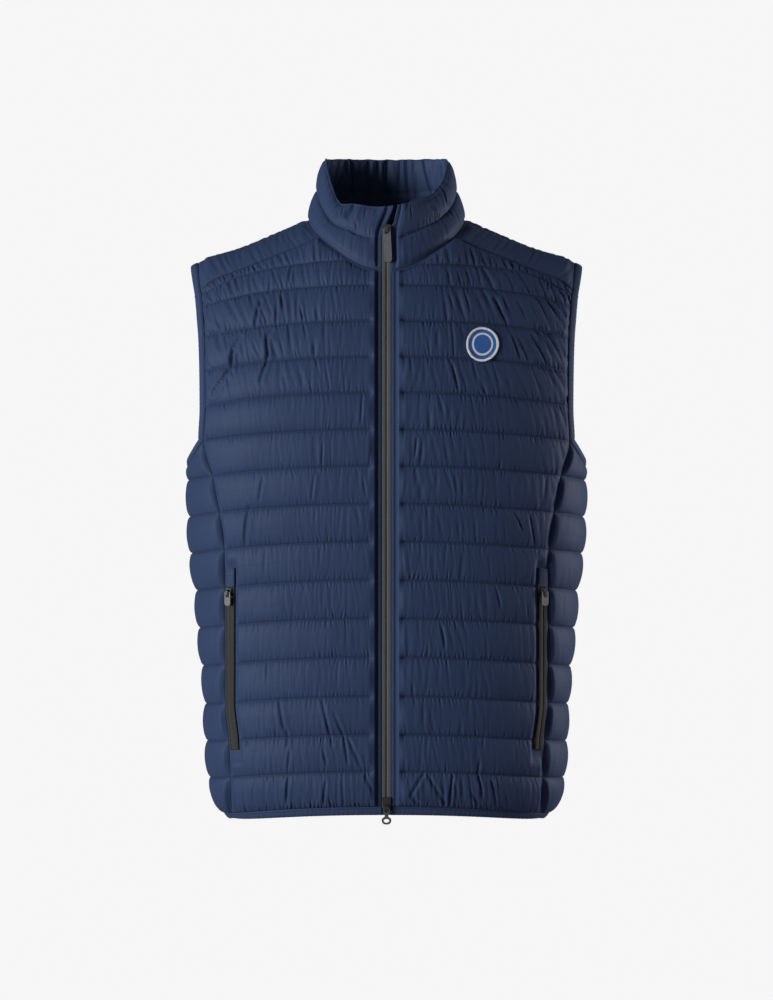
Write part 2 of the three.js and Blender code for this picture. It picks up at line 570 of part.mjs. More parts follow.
// Sliders and pulls, drawn flat: x across, y up the zip, z out from the cloth.
const kernel = await Kernel();
kernel.setup();
function solidOf(geometry) {
  const plain = mergeVertices(new THREE.BufferGeometry().setAttribute('position',
    (geometry.index ? geometry.toNonIndexed() : geometry).getAttribute('position')), 1e-4);
  return new kernel.Manifold(new kernel.Mesh({
    numProp: 3, vertProperties: plain.attributes.position.array, triVerts: new Uint32Array(plain.index.array),
  }));
}
function unite(first, second) {
  const mesh = solidOf(first).add(solidOf(second)).getMesh();
  const geometry = new THREE.BufferGeometry();
  geometry.setAttribute('position', new THREE.Float32BufferAttribute(mesh.vertProperties, 3));
  geometry.setIndex([...mesh.triVerts]);
  return geometry.toNonIndexed();
}
function extrude(shape, depth) {
  return new THREE.ExtrudeGeometry(shape, { depth, bevelEnabled: false, curveSegments: 5 });
}
function roundedShape(points, radius) {
  const shape = new THREE.Shape(), n = points.length;
  for (let i = 0; i < n; i++) {
    const p = vec(...points[i], 0), before = vec(...points[(i + n - 1) % n], 0), after = vec(...points[(i + 1) % n], 0);
    const r = Math.min(radius, p.distanceTo(before) * 0.45, p.distanceTo(after) * 0.45);
    const a = p.clone().add(before.clone().sub(p).setLength(r)), b = p.clone().add(after.clone().sub(p).setLength(r));
    if (i === 0) shape.moveTo(a.x, a.y);
    else shape.lineTo(a.x, a.y);
    shape.quadraticCurveTo(p.x, p.y, b.x, b.y);
  }
  shape.closePath();
  return shape;
}
const ARCH = { length: 7, gap: 2.6, wall: 1.2, width: 3 };
const BAR = 1.4;
const SLIDER_THICK = 2.6;
function sliderGeometry(width, length, archAt = 0) {
  const w = width / 2, l = length / 2;
  const body = extrude(roundedShape([[-w, l], [-w * 0.62, -l], [w * 0.62, -l], [w, l]], 2), SLIDER_THICK);
  const a = ARCH.length / 2, t = ARCH.wall, top = ARCH.gap + t;
  const arch = new THREE.Shape([[-a, -0.5], [-a, top - 1], [-a + 1, top], [a - 1, top], [a, top - 1], [a, -0.5],
    [a - t, -0.5], [a - t, ARCH.gap], [-a + t, ARCH.gap], [-a + t, -0.5]].map(([x, y]) => new THREE.Vector2(x, y)));
  const bridge = extrude(arch, ARCH.width);
  bridge.translate(0, 0, -ARCH.width / 2);
  bridge.applyMatrix4(new THREE.Matrix4().makeBasis(vec(0, 1, 0), vec(0, 0, 1), vec(1, 0, 0)));
  bridge.translate(0, archAt, SLIDER_THICK);
  return unite(body, bridge);
}
// Pull tab hanging from its bar, with the window that lets it pass the slider's bridge.
function pullGeometry(outline, hole) {
  const shape = roundedShape(outline, 1.6);
  shape.holes.push(new THREE.Path([[-2.3, -5.4], [2.3, -5.4], [2.3, -BAR / 2], [-2.3, -BAR / 2]]
    .map(([x, y]) => new THREE.Vector2(x, y))));
  if (hole) {
    const path = new THREE.Path();
    path.absellipse(0, hole.y, hole.x, hole.tall, 0, Math.PI * 2, false);
    shape.holes.push(path);
  }
  const plate = extrude(shape, BAR);
  plate.translate(0, 0, -BAR / 2);
  return plate;
}
const LONG_PULL = [[-4.4, 0.7], [4.4, 0.7], [4.4, -35], [2.6, -38], [-2.6, -38], [-4.4, -35]];
const POCKET_PULL = [[-4, 0.7], [4, 0.7], [4, -12.6], [2.6, -14.6], [-2.6, -14.6], [-4, -12.6]];
const RING_PULL = [[-3.6, 0.7], [3.6, 0.7], [3.6, -6], [2, -8], [2, -10.5], [5.2, -12.6], [5.4, -16], [3, -19],
  [-3, -19], [-5.4, -16], [-5.2, -12.6], [-2, -10.5], [-2, -8], [-3.6, -6]];

// Frame on the cloth: right, up the zip, outwards.
function frameAt(point, up, normal, lift) {
  const out = normal.clone().normalize(), rise = up.clone();
  rise.addScaledVector(out, -rise.dot(out)).normalize();
  const right = rise.clone().cross(out);
  return new THREE.Matrix4().makeBasis(right, rise, out).setPosition(point.clone().addScaledVector(out, lift));
}

const vest = new THREE.Group();
vest.name = 'quilted_vest';
const MATERIALS = {
  cloth: new THREE.MeshStandardMaterial({ color: 0x2f3a55, roughness: 0.72, metalness: 0 }),
  binding: new THREE.MeshStandardMaterial({ color: 0x333f5c, roughness: 0.6, metalness: 0 }),
  tape: new THREE.MeshStandardMaterial({ color: 0x34353a, roughness: 0.5, metalness: 0 }),
  slider: new THREE.MeshStandardMaterial({ color: 0x8d9095, roughness: 0.35, metalness: 1 }),
  pull: new THREE.MeshStandardMaterial({ color: 0x525357, roughness: 0.5, metalness: 0 }),
  patch: new THREE.MeshStandardMaterial({ color: 0xc9cdd3, roughness: 0.7, metalness: 0 }),
};
function add(name, geometry, material, matrix) {
  if (matrix) geometry.applyMatrix4(matrix);
  geometry.computeVertexNormals();
  const mesh = new THREE.Mesh(geometry, MATERIALS[material]);
  mesh.name = name;
  vest.add(mesh);
  return mesh;
}

const everyLine = (grid) => grid.map((_, r) => r).filter((r) => r % CELLS === 0);
const walls = {};
for (const [name, grid] of Object.entries(grids)) {
  const inner = name.startsWith('yoke') ? grid.map((_, r) => r) : everyLine(grid);
  const last = grid[0].length - 1;
  const armholes = { front_right: [last], front_left: [last], back: [0, last] };
  walls[name] = wallOf(grid, inner, armholes[name] ?? []);
  if (name === 'collar') {
    const rim = walls[name].outer.length - 1;
    walls[name].outer.push(walls[name].outer[rim].map((p, c) =>
      p.clone().lerp(walls[name].inner[2][c], 0.5).add(vec(0, 0, 1.8))));
  }
  add(name, wallGeometry(walls[name]), 'cloth');
}

// Bindings
for (const side of ['right', 'left']) {
  const front = edgeFrames(grids[`front_${side}`], 'last', UNDERARM * CELLS);
  const yoke = edgeFrames(grids[`yoke_${side}`], 'last');
  const backEdge = side === 'right' ? 'first' : 'last';
  const back = edgeFrames(grids.back, backEdge, UNDERARM * CELLS).reverse();
  const under = edgeFrames(grids[`side_${side}`], 'high').reverse();
  const loop = chain(front, yoke, back, under);
  const close = loop.pop();
  loop[0] = { ...loop[0], away: loop[0].away.clone().add(close.away) };
  add(`armhole_binding_${side}`, bandGeometry(joinFrames(loop, 2, true), BINDING_PROFILE, true), 'binding');
}
const hemFrames = joinFrames([
  ...edgeFrames(grids.front_right, 'low'),
  ...edgeFrames(grids.side_right, 'low').slice(1),
  ...edgeFrames(grids.back, 'low').slice(1),
  ...edgeFrames(grids.side_left, 'low').reverse().slice(1),
  ...edgeFrames(grids.front_left, 'low').reverse().slice(1),
], 1, false);
add('hem_binding', bandGeometry(hemFrames, BINDING_PROFILE, false), 'binding');

// Centre zip: each tape runs from the hem up the front edge and the collar.
const tapes = {};
for (const side of ['right', 'left']) {
  const front = edgeFrames(grids[`front_${side}`], 'first', 0, 64, CELLS);
  const collarEdge = side === 'right' ? 'first' : 'last';
  const collar = edgeFrames(grids.collar, collarEdge);
  const across = side === 'right' ? 1 : -1;
  const frames = [...front, ...collar.slice(1)].map(({ point, normal }) => ({
    point, away: vec(across, 0, 0), normal: normal.clone().setX(0).normalize(),
  }));
  frames[0].point = frames[0].point.clone().sub(vec(0, -2, 8));
  tapes[side] = frames;
  add(`zip_tape_${side}`, bandGeometry(frames, TAPE_PROFILE, false), 'tape');
}
// Point, direction and outward normal on the middle of the zip at a height.
function zipPlace(z) {
  const frames = tapes.right;
  let i = 0;
  while (i < frames.length - 2 && frames[i + 1].point.z < z) i++;
  const a = frames[i].point, b = frames[i + 1].point, t = (z - a.z) / (b.z - a.z);
  const up = b.clone().sub(a).setX(0).normalize();
  const point = a.clone().lerp(b, t).setX(0);
  return { point, up, out: vec(0, -up.z, up.y) };
}
const TILT = THREE.MathUtils.degToRad(3);
for (const [name, z, width, length, outline, hole, tilt, archAt] of [
  ['top', -17, 10, 12, LONG_PULL, null, TILT, 0],
  ['bottom', -652, 10, 16, RING_PULL, { x: 3.2, tall: 2.4, y: -15 }, 0, -3.5],
]) {
  const { point, up, out } = zipPlace(z);
  const lift = 2.7 + 0.35;
  const frame = frameAt(point, up, out, lift);
  add(`zip_slider_${name}`, sliderGeometry(width, length, archAt), 'slider', frame);
  const pull = pullGeometry(outline, hole);
  pull.rotateZ(tilt);
  pull.translate(0, archAt, SLIDER_THICK + ARCH.gap / 2);
  add(`zip_pull_${name}`, pull, 'pull', frame);
}

// Pocket zips lie on the narrow strip beside the side seam.
function strip(side, fromRow, toRow, lift, thick, narrow, gap = 0) {
  const grid = grids[`front_${side}`], outer = walls[`front_${side}`].outer;
  const low = [], high = [];
  for (let r = fromRow; r <= toRow; r++) {
    const normal = grid[r][15].normal.clone().add(grid[r][16].normal).normalize();
    const rise = r === fromRow ? outer[r + 1][15].clone().sub(outer[r][15]).setLength(gap) : vec(0, 0, 0);
    const row = [narrow, 0.5, 1 - narrow].map((t) => outer[r][15].clone().lerp(outer[r][16], t).add(rise));
    low.push(row.map((p) => p.clone().addScaledVector(normal, lift)));
    high.push(row.map((p) => p.clone().addScaledVector(normal, lift + thick)));
  }
  return wallGeometry({ outer: high, inner: low, innerRows: low.map((_, i) => i) });
}
const POCKET_TOP = 24, POCKET_LOW = 7;
for (const side of ['right', 'left']) {
  add(`pocket_zip_${side}`, strip(side, POCKET_LOW, POCKET_TOP, 0.3, 1.6, 0.05), 'tape');
  add(`pocket_garage_${side}`, strip(side, POCKET_TOP, POCKET_TOP + 2, 0.3, 1.9, 0.02, 0.3), 'cloth');
  const grid = grids[`front_${side}`], outer = walls[`front_${side}`].outer;
  const r = POCKET_TOP - 1;
  const point = [outer[r][15], outer[r][16], outer[r + 1][15], outer[r + 1][16]]
    .reduce((sum, p) => sum.addScaledVector(p, 0.25), vec(0, 0, 0));
  const up = outer[r + 1][15].clone().add(outer[r + 1][16]).sub(outer[r - 1][15]).sub(outer[r - 1][16]);
  const normal = grid[r][15].normal.clone().add(grid[r][16].normal);
  const frame = frameAt(point, up, normal, 0.3 + 1.6 + 0.35);
  add(`pocket_slider_${side}`, sliderGeometry(8, 9), 'slider', frame);
  const pull = pullGeometry(POCKET_PULL, null);
  pull.translate(0, 0, SLIDER_THICK + ARCH.gap / 2);
  add(`pocket_pull_${side}`, pull, 'pull', frame);
}

// Round badge on the left chest, bridging the dips of the channel that it lies on.
function patchPoint(dx, dz, out) {
  const x = PATCH.x + dx, z = PATCH.z + dz;
  const level = z + SIDE_DROP * (x / halfAt(FRONT.from)) ** ROUND;
  const across = clamp((level - lineZ(12)) / (lineZ(13) - lineZ(12)), 0.08, 1);
  const rise = PUFF * Math.max(0.5, (1 - (2 * across - 1) ** 2) ** 0.6);
  const point = vec(x, surfaceY(FRONT, x, z, halfAt(FRONT.from)), z);
  return point.addScaledVector(normalAt(point), WALL + rise + out);
}
function patchGeometry() {
  const rings = [{ radius: 8, thick: 1 }, { radius: 15.5, thick: 1 }, { radius: 16.2, thick: 1.7 },
    { radius: PATCH.radius, thick: 1.5 }];
  const slant = -normalAt(patchPoint(0, 0, 0)).y;
  const high = [], low = [];
  for (const { radius, thick } of rings) {
    const a = [], b = [];
    for (let k = 0; k < 24; k++) {
      const turn = (k / 24) * Math.PI * 2;
      const dx = radius * Math.cos(turn) * slant, dz = radius * Math.sin(turn);
      b.push(patchPoint(dx, dz, 0.4));
      a.push(patchPoint(dx, dz, 0.4 + thick));
    }
    high.push(a);
    low.push(b);
  }
  const points = [], triangles = [];
  const top = high.map((ring) => ring.map((p) => points.push(p) - 1));
  const under = low.map((ring) => ring.map((p) => points.push(p) - 1));
  const apex = points.push(patchPoint(0, 0, 1.4)) - 1;
  const foot = points.push(patchPoint(0, 0, 0.4)) - 1;
  for (let k = 0; k < 24; k++) {
    const n = (k + 1) % 24;
    triangles.push([apex, top[0][k], top[0][n]], [foot, under[0][n], under[0][k]]);
    for (let r = 0; r < top.length - 1; r++) {
      triangles.push([top[r][k], top[r + 1][k], top[r + 1][n]], [top[r][k], top[r + 1][n], top[r][n]]);
      triangles.push([under[r][k], under[r + 1][n], under[r + 1][k]], [under[r][k], under[r][n], under[r + 1][n]]);
    }
    const e = top.length - 1;
    triangles.push([top[e][k], under[e][k], under[e][n]], [top[e][k], under[e][n], top[e][n]]);
  }
  return geometryOf(points, triangles);
}
add('chest_patch', patchGeometry(), 'patch');

export default vest;
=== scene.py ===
import json
import math

import bpy
import numpy as np
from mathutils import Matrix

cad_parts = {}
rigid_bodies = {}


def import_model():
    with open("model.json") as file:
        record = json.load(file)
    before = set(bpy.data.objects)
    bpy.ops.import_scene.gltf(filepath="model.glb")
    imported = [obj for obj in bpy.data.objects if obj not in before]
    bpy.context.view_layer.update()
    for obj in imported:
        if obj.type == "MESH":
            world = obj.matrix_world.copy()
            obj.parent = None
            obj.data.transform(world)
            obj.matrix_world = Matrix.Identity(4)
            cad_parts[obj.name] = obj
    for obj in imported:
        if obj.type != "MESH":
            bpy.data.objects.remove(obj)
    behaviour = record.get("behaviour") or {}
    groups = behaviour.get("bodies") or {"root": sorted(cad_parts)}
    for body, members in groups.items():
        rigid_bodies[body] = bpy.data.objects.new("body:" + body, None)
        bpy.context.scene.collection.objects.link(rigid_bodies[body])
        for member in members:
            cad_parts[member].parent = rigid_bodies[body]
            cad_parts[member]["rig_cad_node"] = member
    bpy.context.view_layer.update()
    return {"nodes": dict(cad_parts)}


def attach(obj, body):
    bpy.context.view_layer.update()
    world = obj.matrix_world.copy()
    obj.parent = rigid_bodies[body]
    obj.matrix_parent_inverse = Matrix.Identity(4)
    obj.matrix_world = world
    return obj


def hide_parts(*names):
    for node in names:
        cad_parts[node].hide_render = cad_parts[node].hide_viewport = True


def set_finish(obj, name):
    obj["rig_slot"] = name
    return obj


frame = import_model()
scene = bpy.context.scene
scene.view_settings.view_transform = "Standard"
bpy.ops.object.select_all(action="DESELECT")

# Camera. It looks level at the front from 3.2 m, at the height of the middle of the body.
bpy.ops.object.camera_add(location=(0, -3.2, -0.3169), rotation=(math.radians(90), 0, 0))
camera = bpy.context.object
camera.name = "camera"
camera.data.sensor_fit = "VERTICAL"
camera.data.sensor_height = 36
camera.data.lens = 101.05
scene.camera = camera


# Front panels. Each is a shell and a lining of light woven nylon with filling between, stitched through along
# level lines so that it stands up in channels. Thread pulls the cloth into small tucks along each line.
WALL = 3.0           # mm that the layers measure where a stitch line presses them together
PUFF = 5.0           # mm that a channel's crown stands above its stitch lines
ROUND = 2.3          # power of the rounded oval that the body is in plan
SIDE_DROP = 14.5     # mm that a stitch line hangs lower at the side than at the centre front
BACK_DROP = 20.5     # mm that it hangs lower still at the centre back
ZIP_HALF = 5.0       # mm from the middle of the zip to the front panel's edge
TOPSTITCH = 5.2      # mm from that edge to the stitching that holds the tape
SEAM = 0.02          # mm that a panel stays back from its neighbour at a seam
STRIP = 13.0         # mm of each front panel's side edge that the pocket zip lies on
UNDERARM, CHEST, FRONT_TOP, BACK_TOP = 10, 14, 16, 17    # stitch lines and top edges, counted up from the hem
CHANNEL = 40         # mm between the level stitch lines
CHEST_HALF, SHOULDER_HALF = 228.0, 208.0                 # mm from the middle to the side and to the armhole
NECK_ACROSS, NECK_DEEP, NECK_Y = 86.0, 70.0, -10.0       # half axes and middle of the neck seam
FRONT_TURN, BACK_TURN = 60.0, 118.0                      # degrees round the neck where the yoke seams meet it
NO_STITCH = 30       # mm, a distance that stands for no stitch line near

# Height, half width, depth of the front and depth of the back.
BODY = np.array([
    (-690, 165, 82, 84), (-681, 168, 86, 88), (-666, 180, 91, 94), (-650, 190, 96, 98), (-624, 197, 101, 101),
    (-582, 200, 104, 101), (-541, 201.5, 106, 100), (-499, 204.6, 107, 97), (-458, 208.6, 108, 94),
    (-416, 211.5, 110, 92), (-376, 217.6, 112, 94), (-336, 220, 115, 97), (-300, 221, 117, 100),
    (-270, 223, 117.5, 104), (-230, 228, 118, 110), (-190, 228, 118, 112)])
SHOULDER = np.array([(0, 28), (50, 20), (97, -6), (129, -19.7), (163, -33.2), (208, -47), (222, -54)])
# Stitch lines from the hem edge up: height at the centre front and half width of the panel's outer edge.
LINES = np.array([
    (-655, 172), (-616.3, 172.5), (-575.4, 174), (-533.3, 178), (-490.2, 178), (-447.2, 178), (-404.9, 178),
    (-362.6, 178.5), (-321.2, 184), (-279.7, 192), (-239.6, 202), (-199.4, 200), (-160, 200.5), (-120, 202),
    (-80, 205), (-60, 206.5), (-40, 208)])
TOP_LINE = {
    "right": np.array([(0, -50), (61, -52), (120, -58), (163, -67), (206, -86)]),
    "left": np.array([(0, -57), (60, -56.4), (146, -61.8), (206, -86)])}


def curve(at, value):
    """Smooth curve through the values that never overshoots them."""
    at, value = np.asarray(at, float), np.asarray(value, float)
    slope = np.diff(value) / np.diff(at)
    tangent = np.concatenate([slope[:1], np.zeros(len(at) - 2), slope[-1:]])
    product = slope[:-1] * slope[1:]
    rising = product > 0
    tangent[1:-1][rising] = 2 * product[rising] / (slope[:-1] + slope[1:])[rising]

    def read(x):
        x = np.clip(x, at[0], at[-1])
        i = np.clip(np.searchsorted(at, x, side="right") - 1, 0, len(at) - 2)
        width = at[i + 1] - at[i]
        t = (x - at[i]) / width
        u = 1 - t
        return ((1 + 2 * t) * u * u * value[i] + t * u * u * width * tangent[i]
                + t * t * (3 - 2 * t) * value[i + 1] - t * t * u * width * tangent[i + 1])
    return read


def mix(a, b, t):
    return a + (b - a) * t


def step(low, high, x):
    t = np.clip((x - low) / (high - low), 0, 1)
    return t * t * (3 - 2 * t)


def unit(v):
    return v / np.maximum(np.linalg.norm(v, axis=-1, keepdims=True), 1e-9)


half_at = curve(BODY[:, 0], BODY[:, 1])
shoulder_at = curve(SHOULDER[:, 0], SHOULDER[:, 1])
line_index = np.arange(len(LINES))
edge_at = curve(line_index, LINES[:, 1])
front_seam_y = curve([74.5, 151, SHOULDER_HALF], [-45, -38, -28.5])
arm_drop_at = curve([10, 11, 12, 13, 14], [0, 3, 2.5, 4, 8])
back_seam_y = curve([75.9, 150, SHOULDER_HALF], [22.9, 32, 38])
FRONT = {"sign": -1, "start": -230.0, "power": 1.7, "depth": curve(BODY[:, 0], BODY[:, 2])}
BACK = {"sign": 1, "start": -190.0, "power": 2.4, "depth": curve(BODY[:, 0], BODY[:, 3])}
FRONT_NECK_X = NECK_ACROSS * math.sin(math.radians(FRONT_TURN))
BACK_NECK_X = NECK_ACROSS * math.sin(math.radians(BACK_TURN))


def line_z(line):
    return np.interp(line, line_index, LINES[:, 0])


def ellipse_share(x, half):
    return np.maximum(1e-9, 1 - np.minimum(1, np.abs(x) / half) ** ROUND) ** (1 / ROUND)


def over_shoulder(face, share):
    """Share of the way up that a face has where it rounds over towards the shoulder."""
    return (1 - share ** face["power"]) ** (1 / face["power"])


def surface_y(face, x, z, half):
    flat = ellipse_share(x, half)
    t = np.clip((z - face["start"]) / (shoulder_at(np.abs(x)) - face["start"]), 0, 1)
    high = face["depth"](face["start"]) * over_shoulder(face, t)
    depth = np.where(z <= face["start"], face["depth"](z), high)
    return face["sign"] * depth * flat


def shoulder_z(x, y):
    def over(face):
        flat = ellipse_share(x, half_at(face["start"]))
        share = np.minimum(1, np.abs(y) / (face["depth"](face["start"]) * flat))
        return face["start"] + (shoulder_at(np.abs(x)) - face["start"]) * over_shoulder(face, share)
    return np.where(y < 0, over(FRONT), over(BACK))


def body_field(x, y, z):
    def on(face):
        low = (np.abs(x) / half_at(z)) ** ROUND + (np.abs(y) / face["depth"](z)) ** ROUND - 1
        flat = ellipse_share(x, half_at(face["start"]))
        rise = np.maximum(0, (z - face["start"]) / (shoulder_at(np.abs(x)) - face["start"]))
        out = np.abs(y) / (face["depth"](face["start"]) * flat)
        high = out ** face["power"] + rise ** face["power"] - 1
        return np.where(z <= face["start"], low, high)
    return np.where(y < 0, on(FRONT), on(BACK))


def normal_at(p):
    x, y, z = p[..., 0], p[..., 1], p[..., 2]
    nudge = 0.5
    return unit(np.stack([body_field(x + nudge, y, z) - body_field(x - nudge, y, z),
                          body_field(x, y + nudge, z) - body_field(x, y - nudge, z),
                          body_field(x, y, z + nudge) - body_field(x, y, z - nudge)], -1))


def neck_point(turn):
    a = np.radians(turn)
    x, y = NECK_ACROSS * np.sin(a), NECK_Y - NECK_DEEP * np.cos(a)
    return np.stack([x, y, shoulder_z(x, y)], -1)


def neck_turn(x):
    return np.degrees(np.arcsin(np.clip(x / NECK_ACROSS, -1, 1)))


# Collar from the centre front round to the back: how high each half rises, and how far it leans in.
right_rise = curve([0, 30, 44, 52, 68, 90, 105, 120, 135, 150, 165, 180],
                   [73, 60, 48, 44, 53, 69.5, 67.5, 66, 64.6, 66, 69, 69])
left_rise = curve([0, 20, 30, 44, 52, 68, 80, 90, 105, 120, 135, 150, 165, 180],
                  [73, 71, 66.6, 57.6, 55.2, 55.6, 59.5, 67, 68, 66, 64.6, 66, 69, 69])
lean_at = curve([0, 30, 44, 52, 68, 90, 135, 180], [15, 17, 18.5, 19, 20, 19, 16, 11])


def rise_at(turn):
    return np.where(turn > 0, left_rise(np.abs(turn)), right_rise(np.abs(turn)))


def collar_point(turn, h):
    """Point of the collar's inner face, at a turn in degrees, negative on the right, and a share of the
    rise."""
    base = neck_point(turn)
    size = np.abs(turn)
    inward = unit(np.stack([-base[..., 0], NECK_Y - base[..., 1]], -1))
    across = inward[..., 0] * np.minimum(1, (size - 3) / 20)
    lean = lean_at(size) * h ** 0.9
    flare = np.where(turn > 0, 8.5, 17) * np.maximum(0, 1 - size / np.where(turn > 0, 46, 36)) ** 1.5
    flare = flare * step(0.5, 1.1, h)
    return np.stack([base[..., 0] + across * lean + flare,
                     base[..., 1] + inward[..., 1] * lean - flare ** 2 / 60,
                     base[..., 2] + rise_at(turn) * h], -1)


def collar_normal(turn, h):
    a, b = collar_point(turn - 0.8, h), collar_point(turn + 0.8, h)
    low, high = collar_point(turn, np.maximum(0, h - 0.02)), collar_point(turn, np.minimum(1, h + 0.02))
    normal = -unit(np.cross(high - low, b - a))
    away = collar_point(turn, h) - np.array([0, NECK_Y, 0])
    away[..., 2] = 0
    return normal * np.where(np.sum(normal * away, -1, keepdims=True) < 0, -1, 1)


def neck_mitre(turn):
    """Where the outer faces of a panel and of the collar meet over the neck seam."""
    a, b = normal_at(neck_point(turn)), collar_normal(turn, np.zeros_like(turn))
    return (a + b) * (WALL / (1 + np.sum(a * b, -1, keepdims=True)))


def channel_rows(counts):
    """Places up the channels, closer together beside each stitch line."""
    rows = [0.0]
    for k, count in enumerate(counts):
        w = np.arange(1, count + 1) / count
        rows.extend(k + w - 0.085 * np.sin(2 * np.pi * w))
    return np.array(rows)


def crown(share):
    """Rounded rise of a stuffed channel, from 0 at its two stitch lines to 1 between them."""
    return np.maximum(0, 1 - (2 * share - 1) ** 2) ** 0.6


def outer_column(j, start, edge):
    """Places across from the neck's corner to the outer edge, the last one across the edge strip."""
    return np.where(j <= 9, mix(start, edge - STRIP, np.minimum(j, 9) / 9),
                    mix(edge - STRIP, edge, np.clip(j - 9, 0, 1)))


def press(height, across, up, at, foot, slant, length, width, depth):
    """Presses one narrow tuck into the cloth, with the cloth beside it standing up a little."""
    side = (across - at - slant * (up - foot)) / width
    reach = np.exp(-((up - foot) / length) ** 2)
    height -= depth * reach * (np.exp(-side ** 2) - 0.38 * np.exp(-((np.abs(side) - 2.1) / 1.1) ** 2))


def gather(height, across, line, tall, tight, slant, pucker, rng):
    """Ticks that the thread pulls in along each stitch line, with puckers and faint streaks between them."""
    for k in range(int(line.max() + 0.999)):
        rows = (line[:, 0] >= k) & (line[:, 0] < k + 1)
        if not rows.any():
            continue
        a, t, share = across[rows], tall[rows], line[rows] - k
        low, high = share * t, (1 - share) * t
        bump = np.zeros_like(a)
        start, stop, middle = a.min(), a.max(), t.mean() / 2
        for from_line, turned in ((low, 1), (high, -1)):
            at = start + rng.uniform(0, 4)
            while at < stop:
                force = tight(at, k + (turned < 0)) * rng.uniform(0.2, 1) ** 1.4
                press(bump, a, from_line, at, 1.0, turned * (slant(at, k) + rng.normal(0, 0.2)),
                      rng.uniform(3.2, 9), rng.uniform(0.65, 1.1), 1.25 * force)
                at += rng.uniform(2.4, 6.4)
        at = start + rng.uniform(0, 8)
        while at < stop:
            force = pucker(at, k) * rng.uniform(0.25, 1)
            press(bump, a, low, at, rng.uniform(0.3, 1.7) * middle, slant(at, k) + rng.normal(0, 0.1),
                  rng.uniform(7, 19), rng.uniform(1.2, 2.4), force)
            at += rng.uniform(5, 13)
        for _ in range(int((stop - start) / 3)):
            at = rng.uniform(start, stop)
            press(bump, a, low, at, rng.uniform(0.2, 1.8) * middle, slant(at, k) * 0.7 + rng.normal(0, 0.06),
                  rng.uniform(9, 26), rng.uniform(0.8, 1.8), rng.uniform(-0.08, 0.26) * tight(at, k))
        height[rows] += bump * step(0.2, 2.6, np.minimum(low, high))


def fold(height, x, z, track, deep, width=1.9):
    """A crease pressed along a track of points, with the cloth rolled up along its sides."""
    best = np.full(x.shape, 1e9)
    fade = np.zeros(x.shape)
    track = np.asarray(track, float)
    total = np.linalg.norm(np.diff(track, axis=0), axis=1)
    done = 0.0
    for (ax, az), (bx, bz), long in zip(track[:-1], track[1:], total):
        t = np.clip(((x - ax) * (bx - ax) + (z - az) * (bz - az)) / long ** 2, 0, 1)
        away = np.hypot(x - ax - t * (bx - ax), z - az - t * (bz - az))
        nearer = away < best
        best = np.where(nearer, away, best)
        fade = np.where(nearer, (done + t * long) / total.sum(), fade)
        done += long
    strength = deep * (0.35 + 0.65 * np.sin(np.pi * np.clip(0.08 + 0.84 * fade, 0, 1)))
    height -= 1.25 * strength * np.exp(-(best / (0.72 * width)) ** 2)
    height += 0.45 * strength * np.exp(-((best - 1.9 * width) / (1.2 * width)) ** 2)


def creased(x, z, tracks):
    height = np.zeros_like(x)
    for track, deep, width in tracks:
        fold(height, x, z, track, deep, width)
    return height


def to_mitre(offset, mitre, near):
    """Draws the outer face in to the line where it meets the next piece's."""
    return mix(offset, np.broadcast_to(mitre, offset.shape), near)


def quads(index):
    return np.stack([index[:-1, :-1], index[:-1, 1:], index[1:, 1:], index[1:, :-1]], -1).reshape(-1, 4)


def keep_back(points):
    """Leaves the seam's gap at the first and last column."""
    points[:, 0] += SEAM * unit(points[:, 1] - points[:, 0])
    points[:, -1] += SEAM * unit(points[:, -2] - points[:, -1])


def close_wall(outer, inner):
    """Points and faces of a closed wall from a fine outer face and a coarser inner face."""
    keep_back(outer)
    keep_back(inner)
    out = np.arange(outer.size // 3).reshape(outer.shape[:2])
    ins = out.size + np.arange(inner.size // 3).reshape(inner.shape[:2])
    faces = quads(out).tolist() + quads(ins)[:, [0, 3, 2, 1]].tolist()
    for fine, coarse, flip in ((out[0], ins[0], False), (out[-1], ins[-1], True),
                               (out[:, 0], ins[:, 0], True), (out[:, -1], ins[:, -1], False)):
        ratio = (len(fine) - 1) // (len(coarse) - 1)
        for k in range(len(coarse) - 1):
            for i in range(ratio):
                face = [fine[k * ratio + i], fine[k * ratio + i + 1], coarse[k]]
                faces.append(face if flip else face[::-1])
            face = [fine[(k + 1) * ratio], coarse[k + 1], coarse[k]]
            faces.append(face if flip else face[::-1])
    return np.concatenate([outer.reshape(-1, 3), inner.reshape(-1, 3)]), faces


def cloth_mesh(name, points, faces, along, gap, across_up):
    """A mesh in metres. Its UV map is the place across and up the cloth. Its attribute sewn is the place
    along the nearest stitch line and the distance from that line."""
    mesh = bpy.data.meshes.new(name)
    mesh.from_pydata((points / 1000).tolist(), [], faces)
    mesh.update()
    mesh.calc_loop_triangles()
    corners = np.zeros(len(mesh.loop_triangles) * 3, np.int32)
    mesh.loop_triangles.foreach_get("vertices", corners)
    tri = points[corners.reshape(-1, 3)]
    if np.sum(tri[:, 0] * np.cross(tri[:, 1], tri[:, 2])) < 0:
        mesh.flip_normals()
    mesh.shade_smooth()
    loops = np.zeros(len(mesh.loops), np.int32)
    mesh.loops.foreach_get("vertex_index", loops)
    layer = mesh.uv_layers.new(name="cloth")
    layer.data.foreach_set("uv", (across_up[loops] / 1000).astype(np.float32).ravel())
    sewn = np.stack([along, gap, np.zeros(len(points))], -1)
    stitching = mesh.attributes.new("sewn", "FLOAT_VECTOR", "POINT")
    stitching.data.foreach_set("vector", (sewn / 1000).astype(np.float32).ravel())
    piece = bpy.data.objects.new(name, mesh)
    scene.collection.objects.link(piece)
    return piece


